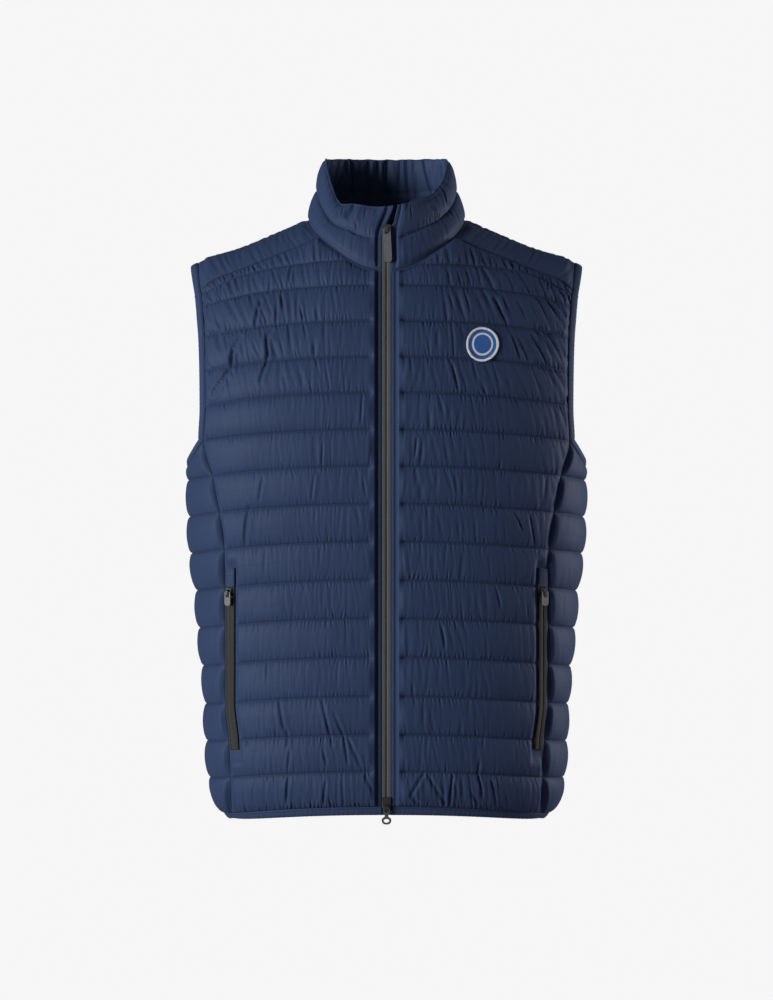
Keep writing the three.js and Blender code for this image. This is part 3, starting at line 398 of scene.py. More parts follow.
def quilted_panel(name, outer, inner, across, up, stitch_gap, along=None):
    """A panel whose lining has every so many of the shell's rows and columns."""
    points, faces = close_wall(outer, inner)
    every_row = (outer.shape[0] - 1) // (inner.shape[0] - 1)
    every_column = (outer.shape[1] - 1) // (inner.shape[1] - 1)

    def both(values):
        return np.concatenate([values.ravel(), values[::every_row, ::every_column].ravel()])
    piece = cloth_mesh(name, points, faces, both(across if along is None else along), both(stitch_gap),
                       np.stack([both(across), both(up)], -1))
    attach(piece, "vest")
    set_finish(piece, "shell_fabric")
    return piece


def line_gap(line, tall):
    """Distance in mm from the nearest stitch line, signed, and far away where no line is sewn."""
    nearest = np.round(line)
    return np.clip((line - nearest) * tall, -NO_STITCH, NO_STITCH)


def slow_noise(seed, lines, places, x, line):
    """Soft uneven values from -1 to 1, one row for each channel, read at a place across."""
    table = np.random.default_rng(seed).uniform(-1, 1, (lines + 1, places + 2))
    row = np.clip(line.astype(int), 0, lines)
    t = np.clip(x, 0, 0.9999) * places
    i = t.astype(int)
    return mix(table[row, i], table[row, i + 1], step(0, 1, t - i))


# The main creases: the points that each runs through, across and up in mm, how deep it is, and how wide.
FOLD_TRACKS = {
    "right": [
        ([(158, -138), (168, -153), (170, -170), (190, -201)], 3.8, 2.0),
        ([(125, -131), (131, -139), (129, -156), (132, -170), (137, -187)], 2.6, 1.9),
        ([(137, -98), (141, -109), (144, -126)], 2.2, 1.7), ([(116, -91), (113, -109)], 1.7, 1.5),
        ([(120, -105), (121, -126)], 1.6, 1.5), ([(94, -105), (91, -119)], 1.5, 1.4),
        ([(105, -62), (107, -75)], 1.6, 1.6), ([(128, -75), (130, -89)], 1.5, 1.5),
        ([(26, -204), (28, -234)], 0.8, 1.3), ([(69, -254), (70, -283)], 0.9, 1.3),
        ([(134, -293), (138, -317)], 1.3, 1.5), ([(78, -290), (81, -315)], 0.8, 1.3),
        ([(26, -292), (22, -312)], 0.7, 1.3), ([(150, -325), (154, -367)], 1.9, 2.2),
        ([(37, -356), (36, -372)], 0.8, 1.3), ([(65, -437), (65, -456)], 0.8, 1.4),
        ([(130, -497), (130, -516)], 0.9, 1.4),
        ([(117, -537), (112, -567), (108, -572), (108, -587)], 2.0, 2.0),
        ([(105, -594), (107, -613)], 1.9, 1.9),
        ([(107, -624), (109, -652)], 2.4, 1.8), ([(66, -627), (69, -652)], 2.3, 1.8),
        ([(70, -537), (59, -587)], 1.9, 1.8), ([(57, -551), (46, -579), (42, -606)], 2.0, 1.7),
        ([(42, -579), (28, -609)], 1.9, 1.8), ([(23, -621), (12, -641)], 1.9, 1.9),
        ([(69, -594), (65, -606)], 1.7, 1.6), ([(159, -560), (161, -590)], 1.0, 1.6)],
    "left": [
        ([(41, -618), (26, -641), (36, -652)], 2.0, 1.8), ([(46, -621), (64, -651)], 2.2, 1.7),
        ([(72, -621), (69, -652)], 2.4, 1.8), ([(101, -606), (100, -618), (104, -643)], 2.2, 1.8),
        ([(92, -640), (101, -652)], 1.9, 1.6), ([(115, -629), (119, -652)], 2.2, 1.8),
        ([(91, -39), (100, -62)], 1.8, 1.8), ([(105, -59), (123, -91)], 2.0, 1.8),
        ([(85, -91), (91, -112)], 1.6, 1.7), ([(116, -95), (134, -126)], 2.0, 1.8),
        ([(137, -139), (146, -161)], 1.8, 1.8), ([(158, -136), (175, -166)], 2.0, 1.8),
        ([(72, -170), (78, -195)], 1.4, 1.7), ([(139, -330), (148, -350)], 1.6, 1.8),
        ([(156, -334), (162, -369)], 1.7, 1.9), ([(60, -455), (64, -478)], 1.3, 1.7),
        ([(33, -250), (31, -270)], 1.1, 1.6), ([(120, -415), (124, -436)], 1.2, 1.7),
        ([(28, -520), (31, -541)], 1.1, 1.6)],
    "back": [
        ([(-150, -310), (-141, -345)], 2.2, 1.9), ([(146, -318), (152, -350)], 2.1, 1.9),
        ([(-96, -400), (-92, -428)], 1.7, 1.8), ([(84, -440), (80, -470)], 1.7, 1.8),
        ([(-30, -360), (-33, -390)], 1.5, 1.8), ([(22, -520), (25, -548)], 1.5, 1.8),
        ([(-120, -560), (-112, -600)], 2.0, 1.9), ([(118, -610), (110, -650)], 2.4, 1.9),
        ([(-60, -630), (-58, -664)], 2.8, 1.9), ([(40, -636), (44, -668)], 2.4, 1.9),
        ([(-132, -120), (-120, -150)], 2.0, 1.9), ([(130, -112), (118, -146)], 2.0, 1.9),
        ([(160, -190), (150, -222)], 1.8, 1.9), ([(-162, -230), (-154, -262)], 1.8, 1.9),
        ([(60, -180), (56, -206)], 1.5, 1.8), ([(-48, -268), (-50, -296)], 1.4, 1.8)]}

BADGE_X, BADGE_Z, BADGE_RADIUS = 104.0, -147.0, 18.7
SIDES = (("right", -1), ("left", 1))
front_columns = np.concatenate([np.linspace(0, 6, 97), np.linspace(6, 15, 129)[1:],
                                np.linspace(15, 16, 17)[1:]])
front_rows = channel_rows([18] * 14 + [12, 12])


def front_points(side, columns, lines):
    c, line = np.meshgrid(columns, lines)
    edge = edge_at(line)
    ease = np.sin(1.2 * np.minimum(c, 6) / 6) / math.sin(1.2)
    x = np.where(c <= 6, mix(ZIP_HALF, FRONT_NECK_X, ease), outer_column(c - 6, FRONT_NECK_X, edge))

    def level(n):
        return line_z(n) - SIDE_DROP * (x / half_at(line_z(n) - 7)) ** ROUND - arm_drop_at(n) * (x / 200) ** 4
    top = np.where(c <= 6, neck_point(neck_turn(x))[..., 2], shoulder_z(x, front_seam_y(x)))
    chest = level(CHEST)
    top_line = curve(TOP_LINE[side][:, 0], TOP_LINE[side][:, 1])(x)
    upper = np.maximum(np.minimum(top_line, top - 4), chest + 4)
    z = np.select([line <= CHEST, line <= 15], [level(line), mix(chest, upper, line - CHEST)],
                  mix(upper, top, line - 15))
    tall = np.select([line <= CHEST, line <= 15], [CHANNEL, upper - chest], top - upper)
    y = surface_y(FRONT, x, z, half_at(line_z(np.minimum(line, CHEST)) - 7))
    return np.stack([x, y, z], -1), c, line, tall, edge


def pillow(line, tall, puff):
    return crown(line - np.floor(line)) * puff * np.minimum(1, tall / 34)


for (side, sign), seed in zip(SIDES, (11, 23)):
    p, c, line, tall, edge = front_points(side, front_columns, front_rows)
    x, z = p[..., 0], p[..., 2]
    from_zip, from_edge = x - ZIP_HALF, edge - x
    pocket = step(1.3, 1.6, line) * (1 - step(6.5, 6.8, line))
    share = mix(step(0.4, 5.5, from_edge), step(STRIP - 0.5, STRIP + 4.5, from_edge), pocket)
    quilted = step(7.5, 15, from_zip)
    badge_clear = step(19, 25, np.hypot(x - BADGE_X, z - BADGE_Z)) if side == "left" else np.ones_like(x)
    uneven = slow_noise(seed, 16, 7, x / 210, line) * badge_clear
    placket = 3.5 * step(4.6, 8.6, from_zip) * step(0, 2.5, np.minimum(line, FRONT_TOP - line) * 38)
    puffed = pillow(line, tall, PUFF) * share * (1 + 0.13 * uneven)
    height = WALL + mix(placket, puffed, quilted) - 0.3 * (1 - badge_clear)
    rng = np.random.default_rng(seed + 2)
    looseness = np.random.default_rng(seed + 3).uniform(0.25, 1, (18, 12))

    def spot(at, k):
        return looseness[min(int(k), 17), int(np.clip(at / 20, 0, 11))]

    def tight(at, k):
        near_arm = step(135, 185, at) * step(9, 11, k)
        return 0.3 + 0.6 * spot(at, k) + 0.8 * near_arm + 0.6 * (k < 0.5)

    def slant(at, k):
        if side == "left":
            return -0.42 * step(9, 12, k) * step(50, 130, at) - 0.1 * step(20, 60, at)
        return 0.3 * step(9.5, 12, k) * step(70, 130, at)

    def pucker(at, k):
        chest = step(10.5, 12, k) * step(45, 90, at)
        inner = step(5, 8, k) * (1 - step(11, 13, k)) * (1 - step(60, 110, at))
        if side == "left":
            return (0.26 + 0.4 * spot(at, k) + 1.1 * chest + 0.4 * inner + 0.5 * step(150, 180, at)
                    + 0.4 * (k < 0.5))
        return 0.08 + 0.2 * spot(at, k) + 1.2 * chest + 0.25 * inner + 0.3 * (k < 1.5)

    bump = np.zeros_like(height)
    gather(bump, x, line, tall, tight, slant, pucker, rng)
    clear = mix(1, step(STRIP, STRIP + 4, from_edge), pocket) * badge_clear
    height += bump * step(8, 15, from_zip) * clear
    sewn_down = np.minimum(np.minimum(line - np.floor(line), np.ceil(line) - line) * tall, 4) / 4
    eased = (0.9 - 0.25 * step(-480, -540, z)) * (0.4 + 0.6 * sewn_down) * step(6, 14, from_zip) * clear
    height += creased(x, z, FOLD_TRACKS[side]) * eased
    height -= 1.2 * np.exp(-((from_zip - TOPSTITCH) / 0.65) ** 2) + 0.9 * (1 - step(0, 1.4, from_zip))
    height = np.maximum(height, 2.0)
    offset = normal_at(p) * height[..., None]
    near = (1 - step(0, 7, (FRONT_TOP - line) * tall)) * np.clip(7 - c, 0, 1)
    flip = np.array([sign, 1, 1])
    offset = to_mitre(offset, neck_mitre(neck_turn(x[-1]) * sign) * flip, near[..., None])
    gap = np.select([from_zip > 11, from_zip > 9], [line_gap(line, tall), NO_STITCH], from_zip - TOPSTITCH)
    panel = quilted_panel(f"front_panel_{side}", (p + offset) * flip, p[::3, ::4] * flip, x * sign, z, gap,
                          along=np.where(from_zip > 9, x, z))
    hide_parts(f"front_{side}")


# Side panels. They join front and back from the underarm to the hem, quilted in the same channels, with a low
# curve cut out under the arm.
def side_points(columns, lines):
    c, line = np.meshgrid(columns, lines)
    away = np.abs(c - 3) / 3
    cut_out = 25.9 * (1 - away ** 2.2)
    level = np.where(line > 9, mix(line_z(9.0), line_z(10.0) - cut_out, line - 9), line_z(line))
    half = half_at(level - 7)
    start = np.arcsin((edge_at(line) / half) ** (ROUND / 2))
    turn = mix(np.pi / 2, start, away)
    out = np.sin(turn) ** 2
    x = half * np.sin(turn) ** (2 / ROUND)
    z = level - SIDE_DROP * out - np.where(c > 3, BACK_DROP * (1 - out), 0)
    depth = np.where(c < 3, -FRONT["depth"](z), BACK["depth"](z))
    y = depth * np.maximum(0, 1 - out) ** (1 / ROUND)
    tall = np.where(line > 9, CHANNEL * away + 12, CHANNEL)
    return np.stack([x, y, z], -1), line, tall


def run_across(p):
    """Distance along the cloth from its first column, and from its nearer side seam."""
    steps = np.linalg.norm(np.diff(p, axis=1), axis=-1)
    across = np.concatenate([np.zeros((len(p), 1)), np.cumsum(steps, axis=1)], axis=1)
    return across, np.minimum(across, across[:, -1:] - across)


for (side, sign), seed in zip(SIDES, (41, 57)):
    p, line, tall = side_points(np.linspace(0, 6, 67), channel_rows([16] * 10))
    across, from_seam = run_across(p)
    uneven = slow_noise(seed, 10, 5, across / 130, line)
    height = WALL + pillow(line, tall, PUFF) * step(0.4, 5.5, from_seam) * (1 + 0.12 * uneven)
    bump = np.zeros_like(height)
    gather(bump, across, line, tall, lambda at, k: 0.7 if k > 0.5 else 1.0, lambda at, k: 0.0,
           lambda at, k: 0.45, np.random.default_rng(seed + 2))
    height = np.maximum(2.2, height + bump * step(0.5, 4, from_seam))
    outer = p + normal_at(p) * height[..., None]
    flip = np.array([sign, 1, 1])
    panel = quilted_panel(f"side_panel_{side}", outer * flip, p[::4, ::3] * flip, across * sign, p[..., 2],
                          line_gap(line, tall))
    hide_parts(f"side_{side}")


# Back panel. It is one wide quilted piece from the hem to the yokes and the neck, sewn to the side panels.
# Its stitch lines hang lower than the front's.
def back_points(columns, lines):
    c, line = np.meshgrid(columns, lines)
    upper_edge = mix(edge_at(float(CHEST)), SHOULDER_HALF, (line - CHEST) / 3)
    edge = np.where(line <= CHEST, edge_at(line), upper_edge)
    k = np.abs(c - 9)
    ax = np.where(k <= 4, mix(0, BACK_NECK_X, np.minimum(k, 4) / 4),
                  outer_column(np.maximum(0, k - 4) * 2, BACK_NECK_X, edge))
    x = np.sign(c - 9) * ax

    def lower(level, n):
        out = np.minimum(1, (ax / half_at(line_z(n) - 7)) ** ROUND)
        return level - SIDE_DROP * out - BACK_DROP * (1 - out)
    top = np.where(k <= 4, neck_point(180 - neck_turn(ax))[..., 2], shoulder_z(ax, back_seam_y(ax)))
    chest = lower(line_z(CHEST), CHEST)
    first = np.maximum(np.minimum(lower(-40, CHEST), top - 8), chest + 2)
    second = np.maximum(np.minimum(lower(0, CHEST), top - 4), first + 2)
    below = [line <= CHEST, line <= 15, line <= 16]
    z = np.select(below, [lower(line_z(line), line), mix(chest, first, line - CHEST),
                          mix(first, second, line - 15)], mix(second, top, line - 16))
    tall = np.select(below, [CHANNEL, first - chest, second - first], top - second)
    y = surface_y(BACK, x, z, half_at(line_z(np.minimum(line, CHEST)) - 7))
    return np.stack([x, y, z], -1), c, line, np.maximum(tall, 1), edge


back_columns = np.concatenate([np.linspace(0, 0.5, 9), np.linspace(0.5, 9, 112)[1:],
                               np.linspace(9, 17.5, 112)[1:], np.linspace(17.5, 18, 9)[1:]])
back_rows = channel_rows([18] * BACK_TOP)
p, c, line, tall, edge = back_points(back_columns, back_rows)
x, z = p[..., 0], p[..., 2]
from_edge = edge - np.abs(x)
uneven = slow_noise(71, 17, 12, (x + 210) / 420, line)
height = WALL + pillow(line, tall, PUFF) * step(0.4, 6, from_edge) * (1 + 0.13 * uneven)
looseness = np.random.default_rng(73).uniform(0.25, 1, (19, 24))


def back_spot(at, k):
    return looseness[min(int(k), 18), int(np.clip((at + 210) / 20, 0, 23))]


bump = np.zeros_like(height)
gather(bump, x, line, tall, lambda at, k: 0.25 + 0.5 * back_spot(at, k) + 0.6 * (k < 0.5),
       lambda at, k: 0.3 * step(10, 13, k) * at / 200, lambda at, k: 0.15 + 0.4 * back_spot(at, k),
       np.random.default_rng(74))
height += bump * step(0.5, 4, from_edge)
height = np.maximum(2.0, height + creased(x, z, FOLD_TRACKS["back"]))
near = (1 - step(0, 7, (BACK_TOP - line) * tall)) * np.clip(5 - np.abs(c - 9), 0, 1)
turn = np.where(x[-1] < 0, -180 + neck_turn(np.abs(x[-1])), 180 - neck_turn(np.abs(x[-1])))
offset = to_mitre(normal_at(p) * height[..., None], neck_mitre(turn), near[..., None])
back = quilted_panel("back_panel", p + offset, p[::3, ::2].copy(), x, z, line_gap(line, tall))
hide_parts("back")


# Shoulder yokes. Padded pieces of the shell cloth laid over the shoulders, sewn between the front and back
# panels and up to the collar. Each has one stitch line along its middle.
def yoke_points(columns, shares):
    c, t = np.meshgrid(columns, shares)
    fx, bx = outer_column(c, FRONT_NECK_X, SHOULDER_HALF), outer_column(c, BACK_NECK_X, SHOULDER_HALF)
    neck = neck_point(mix(FRONT_TURN, BACK_TURN, t))
    outward = (fx - FRONT_NECK_X) / (SHOULDER_HALF - FRONT_NECK_X)
    plain_x = mix(FRONT_NECK_X, BACK_NECK_X, t)
    plain_y = mix(front_seam_y(74.5), back_seam_y(BACK_NECK_X), t)
    px = mix(fx, bx, t) + (neck[..., 0] - plain_x) * (1 - outward) + 20 * t * (1 - t) * outward
    py = mix(front_seam_y(fx), back_seam_y(bx), t) + (neck[..., 1] - plain_y) * (1 - outward)
    return np.stack([px, py, shoulder_z(px, py)], -1), t


yoke_columns = np.concatenate([np.linspace(0, 9, 73), np.linspace(9, 10, 9)[1:]])
yoke_shares = np.linspace(0, 1, 49)
for (side, sign), seed in zip(SIDES, (83, 97)):
    p, t = yoke_points(yoke_columns, yoke_shares)
    line = t * 2
    across, from_seam = run_across(p)
    tall = np.full(line.shape, 38.0)
    height = WALL + pillow(line, tall, PUFF * 0.65) * step(0.5, 12, from_seam)
    bump = np.zeros_like(height)
    gather(bump, across, line, tall, lambda at, k: 0.95, lambda at, k: 0.1 * sign, lambda at, k: 1.0,
           np.random.default_rng(seed))
    height = np.maximum(2.2, height + bump * step(0.5, 5, from_seam))
    flip = np.array([sign, 1, 1])
    mitre = neck_mitre(mix(FRONT_TURN, BACK_TURN, yoke_shares) * sign) * flip
    offset = to_mitre(normal_at(p) * height[..., None], mitre[:, None, :], 1 - step(0, 7, across)[..., None])
    panel = quilted_panel(f"shoulder_yoke_{side}", (p + offset) * flip, p[::4, ::4] * flip, across * sign,
                          t * 76, line_gap(line, tall))
    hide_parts(f"yoke_{side}")


# Collar. A stand collar of two quilted channels, its top edge turned over and its lining gathered inside.
# Above the slider its two ends lean over to the left and leave a narrow gap between them.
COLLAR_FOLDS = [
    ([(-46, 62), (-50, 50), (-53, 42)], 3.4, 4.0), ([(-58, 34), (-50, 31), (-38, 31)], 1.3, 1.6),
    ([(-44, 45), (-36, 35)], 1.2, 1.5), ([(-33, 62), (-31, 52)], 1.0, 1.3),
    ([(-64, 46), (-60, 34)], 1.3, 1.8), ([(26, 66), (30, 52)], 0.8, 1.6),
    ([(60, 50), (70, 40)], 1.1, 1.8), ([(96, 60), (92, 38)], 1.2, 1.8),
    ([(-150, 64), (-146, 40)], 1.4, 1.9), ([(150, 62), (155, 40)], 1.4, 1.9),
    ([(210, 64), (206, 44)], 1.2, 1.9)]
half_turns = [neck_turn(mix(ZIP_HALF, FRONT_NECK_X, math.sin(1.2 * k / 6) / math.sin(1.2))) for k in range(7)]
half_turns += [mix(FRONT_TURN, BACK_TURN, k / 8) for k in range(1, 9)]
half_turns += [180 - neck_turn(mix(0, BACK_NECK_X, k / 4)) for k in (3, 2, 1, 0)]
all_turns = half_turns + [360 - t for t in half_turns[-2::-1]]
round_turns = np.interp(np.linspace(0, 36, 505), np.arange(37), all_turns)
collar_turns = np.where(round_turns <= 180, -round_turns, 360 - round_turns)
T, H = np.meshgrid(collar_turns, channel_rows([12, 12]) / 2)
shell_base, shell_normal = collar_point(T, H), collar_normal(T, H)
round_neck = np.concatenate([[0], np.cumsum(np.linalg.norm(np.diff(shell_base[0], axis=0), axis=-1))])
across = np.broadcast_to(round_neck, T.shape)
from_end = np.minimum(across, round_neck[-1] - across)
line = H * 2
tall = np.broadcast_to(rise_at(collar_turns) / 2, T.shape)
puffed = crown(line - np.minimum(np.floor(line), 1)) * 4.0
height = WALL + mix(3.1 * step(4.6, 8.6, from_end), puffed, step(7.5, 15, from_end))
height -= 1.2 * np.exp(-((from_end - TOPSTITCH) / 0.8) ** 2)
bump = np.zeros_like(height)
gather(bump, across, np.minimum(line, 1.9999), tall, lambda at, k: 0.85, lambda at, k: 0.0, lambda at, k: 0.4,
       np.random.default_rng(131))
height = height + bump * step(5, 12, from_end)
from_neck = H * tall * 2
height = np.maximum(1.6, height + creased(T * 1.5, from_neck, COLLAR_FOLDS))
near = (1 - step(0, 7, from_neck))[..., None]
shell = shell_base + to_mitre(shell_normal * height[..., None], neck_mitre(collar_turns), near)

lining_turn, lining_rise = np.meshgrid(collar_turns, np.linspace(1, 0, 19))
lining_across = np.broadcast_to(round_neck, lining_turn.shape)
tucks = np.zeros_like(lining_turn)
gather(tucks, lining_across[::-1], np.minimum(lining_rise * 2, 1.9999)[::-1], np.full(tucks.shape, 30.0),
       lambda at, k: 1.3, lambda at, k: 0.0, lambda at, k: 1.2, np.random.default_rng(137))
tucks = tucks[::-1]
rng = np.random.default_rng(139)
at = 60.0
while at < 440:
    press(tucks, lining_across, lining_rise * 60, at, 45, rng.normal(0, 0.25), rng.uniform(20, 45),
          rng.uniform(2.0, 4.2), rng.uniform(0.8, 3.2))
    at += rng.uniform(9, 18)
stuffed = 1.6 * crown(lining_rise * 2 - np.minimum(np.floor(lining_rise * 2), 1)) + np.clip(tucks, -2.2, 2.4)
inward = collar_normal(lining_turn, lining_rise) * (stuffed * step(4, 14, from_end[0]))[..., None]
lining = collar_point(lining_turn, lining_rise) - inward

middle, reach = (shell[-1] + lining[0]) / 2, (shell[-1] - lining[0]) / 2
ripple = 0.35 * np.sin(round_neck / 3.1 + 1.7 * np.sin(round_neck / 11))
up = np.stack([np.zeros_like(ripple), np.zeros_like(ripple), 2.3 + ripple * 0.6], -1)
rim = [middle + reach * math.cos(np.pi * k / 7) + up * math.sin(np.pi * k / 7) for k in range(1, 7)]
rows = np.concatenate([shell, np.array(rim), lining])
keep_back(rows)
count, columns = rows.shape[:2]
index = np.arange(count * columns).reshape(count, columns)
faces = quads(np.concatenate([index, index[:1]])).tolist()
for column, flip in ((0, False), (columns - 1, True)):
    low, high = 0, count - 1
    ring = index[:, column]
    while high - low > 1:
        face = [ring[low], ring[low + 1], ring[high]]
        faces.append(face[::-1] if flip else face)
        low += 1
        if high - low > 1:
            face = [ring[low], ring[high - 1], ring[high]]
            faces.append(face[::-1] if flip else face)
            high -= 1
gap = np.concatenate([np.where(line > 1.6, NO_STITCH, line_gap(line, tall)), np.full((6, columns), NO_STITCH),
                      np.where(np.abs(lining_rise - 0.5) < 0.3, (lining_rise - 0.5) * 60, NO_STITCH)])
up = np.concatenate([H * 60, np.full((6, columns), 64.0), 70 + (1 - lining_rise) * 60])
across_up = np.stack([np.broadcast_to(round_neck, up.shape), up], -1).reshape(-1, 2)
collar = cloth_mesh("stand_collar", rows.reshape(-1, 3), faces, across_up[:, 0], gap.ravel(), across_up)
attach(collar, "vest")
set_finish(collar, "shell_fabric")
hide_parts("collar")


# Bindings. Elastic strips folded over the raw edges of the armholes and the hem and stitched through, so they
# gather slightly as they hold the edge in.
BINDING_OUTLINE = [(0.15, 3.0), (1.0, 3.75), (2.4, 4.0), (5.2, 4.1), (7.6, 3.95), (9.4, 3.3), (10.4, 2.3),
                   (10.7, 1.2), (10.1, 0.0), (8.8, -0.9), (6.4, -1.2), (3.6, -1.15), (1.4, -0.5), (0.15, 0.1)]
BINDING_STITCH = 1.9


def edge_path(points_of, columns, lines, toward):
    """Points along one edge of a panel, and the directions away from the panel and out of the cloth."""
    edge = points_of(columns, lines).reshape(-1, 3)
    inside = points_of(*toward).reshape(-1, 3)
    return edge, unit(edge - inside), normal_at(edge)


def sweep(name, path, away, normal, outline, closed, spacing, gathers, seed, stitch=None, pinches=()):
    """A folded strip of cloth carried along a path, stitched at a distance from its middle or edge, and
    pressed in at places near its far end."""
    if closed:
        path, away, normal = (np.concatenate([a, a[:1]]) for a in (path, away, normal))
    length = np.concatenate([[0], np.cumsum(np.linalg.norm(np.diff(path, axis=0), axis=-1))])
    count = int(length[-1] / spacing)
    at = np.linspace(0, length[-1], count + 1)
    path, away, normal = (np.stack([np.interp(at, length, a[:, k]) for k in range(3)], -1)
                          for a in (path, away, normal))
    if closed:
        path, away, normal, at = path[:-1], away[:-1], normal[:-1], at[:-1]
    for _ in range(3):
        for a in (away, normal):
            ends = (a[-2:], a[:2]) if closed else (a[[0, 0]], a[[-1, -1]])
            wide = np.concatenate([ends[0], a, ends[1]])
            a[:] = (wide[:-4] + wide[1:-3] + wide[2:-2] + wide[3:-1] + wide[4:]) / 5
    normal = unit(normal)
    away = unit(away - normal * np.sum(away * normal, -1, keepdims=True))
    rng = np.random.default_rng(seed)
    knots = np.arange(0, at[-1] + 30, 9)
    phase = at + 1.6 * np.interp(at, knots, rng.uniform(-1, 1, len(knots)))
    knots = np.arange(0, at[-1] + 40, 17)
    strength = np.interp(at, knots, rng.uniform(0.3, 1, len(knots)))
    ripple = gathers * strength * np.sin(2 * np.pi * phase / 5.2)
    stitch_groove = np.zeros_like(at)
    for pinch in pinches:
        stitch_groove += 0.45 * np.exp(-((length[-1] - at - pinch) / 0.7) ** 2)
    rings = []
    for s, h in outline:
        held = min(1, (s - outline[0][0]) / 4) * (1 if h > 0 else 0.5)
        lift = ripple * held * (1 if h > 1 else -0.4) - stitch_groove * (h > 4)
        rings.append(path + away * s + normal * (h + lift)[:, None])
    rings = np.stack(rings, 1)
    n, m = rings.shape[:2]
    index = np.arange(n * m).reshape(n, m)
    along = np.concatenate([index, index[:1]]) if closed else index
    around = np.concatenate([along, along[:, :1]], axis=1)
    faces = quads(around).tolist()
    if not closed:
        faces += [index[0].tolist()[::-1], index[-1].tolist()]
    across, up = np.array(outline).T
    gap = np.where(up > 1, np.abs(across) - stitch, NO_STITCH) if stitch else np.full(m, NO_STITCH)
    run = np.concatenate([[0], np.cumsum(np.hypot(np.diff(across), np.diff(up)))])
    across_up = np.stack([np.repeat(at, m), np.tile(run, n)], -1)
    return cloth_mesh(name, rings.reshape(-1, 3), faces, across_up[:, 0], np.tile(gap, n), across_up)


def front_edge(columns, lines):
    return front_points("right", columns, lines)[0]


def side_edge(columns, lines):
    return side_points(columns, lines)[0]


def back_edge(columns, lines):
    return back_points(columns, lines)[0]


def yoke_edge(columns, shares):
    return yoke_points(columns, shares)[0]


arm_lines = np.linspace(UNDERARM, FRONT_TOP, 60)
back_lines = np.linspace(BACK_TOP, UNDERARM, 60)
yoke_shares = np.linspace(0, 1, 30)
under = np.linspace(6, 0, 60)
parts = [edge_path(front_edge, [16.0], arm_lines, ([15.9], arm_lines)),
         edge_path(yoke_edge, [10.0], yoke_shares, ([9.9], yoke_shares)),
         edge_path(back_edge, [18.0], back_lines, ([17.95], back_lines)),
         edge_path(side_edge, under, [10.0], (under, [9.95]))]
path, away, normal = (np.concatenate([part[k][:-1] for part in parts]) for k in range(3))
for side, sign in SIDES:
    flip = np.array([sign, 1, 1])
    binding = sweep(f"armhole_edge_{side}", path * flip, away * flip, normal * flip, BINDING_OUTLINE, True,
                    1.3, 0.14, 151 + sign, BINDING_STITCH)
    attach(binding, "vest")
    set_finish(binding, "binding")
    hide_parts(f"armhole_binding_{side}")

flip = np.array([-1, 1, 1])
front_part, side_part, back_part = (
    edge_path(points_of, across, [0.0], (across, [0.05]))
    for points_of, across in ((front_edge, np.linspace(0, 16, 90)), (side_edge, np.linspace(0, 6, 50)),
                              (back_edge, np.linspace(0, 18, 180))))
joined = [[a * flip for a in front_part], [a[1:] * flip for a in side_part], [a[1:] for a in back_part],
          [a[::-1][1:] for a in side_part], [a[::-1][1:] for a in front_part]]
path, away, normal = (np.concatenate([part[k] for part in joined]) for k in range(3))
hem = sweep("hem_edge", path, away, normal, BINDING_OUTLINE, False, 1.3, 0.22, 163, BINDING_STITCH)
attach(hem, "vest")
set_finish(hem, "binding")
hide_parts("hem_binding")


# Centre zip. Two woven tapes, coated on the face and with the coil at the back, are sewn along the front
# edges from the hem up the collar. Above the top slider they are tucked behind the collar's ends.
TAPE_OUTLINE = [(0.08, 0.5), (0.08, 2.84), (0.3, 2.88), (2.2, 2.92), (3.8, 2.86), (4.5, 2.5), (4.85, 1.7),
                (4.85, 0.5)]
tape_lines = np.linspace(0, FRONT_TOP, 200)
h = np.linspace(0, 1, 60)[1:]
edge_points, _, edge_normal = edge_path(front_edge, [0.0], tape_lines, ([0.1], tape_lines))
for side, sign in SIDES:
    edge_turn = np.full(h.shape, neck_turn(ZIP_HALF) * sign)
    path = np.concatenate([edge_points * np.array([sign, 1, 1]), collar_point(edge_turn, h)])
    normal = np.concatenate([edge_normal, collar_normal(edge_turn, h)])
    normal[:, 0] = 0
    path[0] += np.array([0, 2, -8])
    tucked = np.concatenate([np.zeros(len(edge_points)), step(0.6, 0.78, h)])[:, None]
    path = path + tucked * (np.array([sign * 5.0, 0, 0]) - unit(normal) * 4.2)
    away = np.zeros_like(path)
    away[:, 0] = -sign
    tape = sweep(f"zip_half_{side}", path, away, unit(normal), TAPE_OUTLINE, False, 1.5, 0.0, 171)
    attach(tape, "vest")
    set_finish(tape, "zip_tape")
    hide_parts(f"zip_tape_{side}")


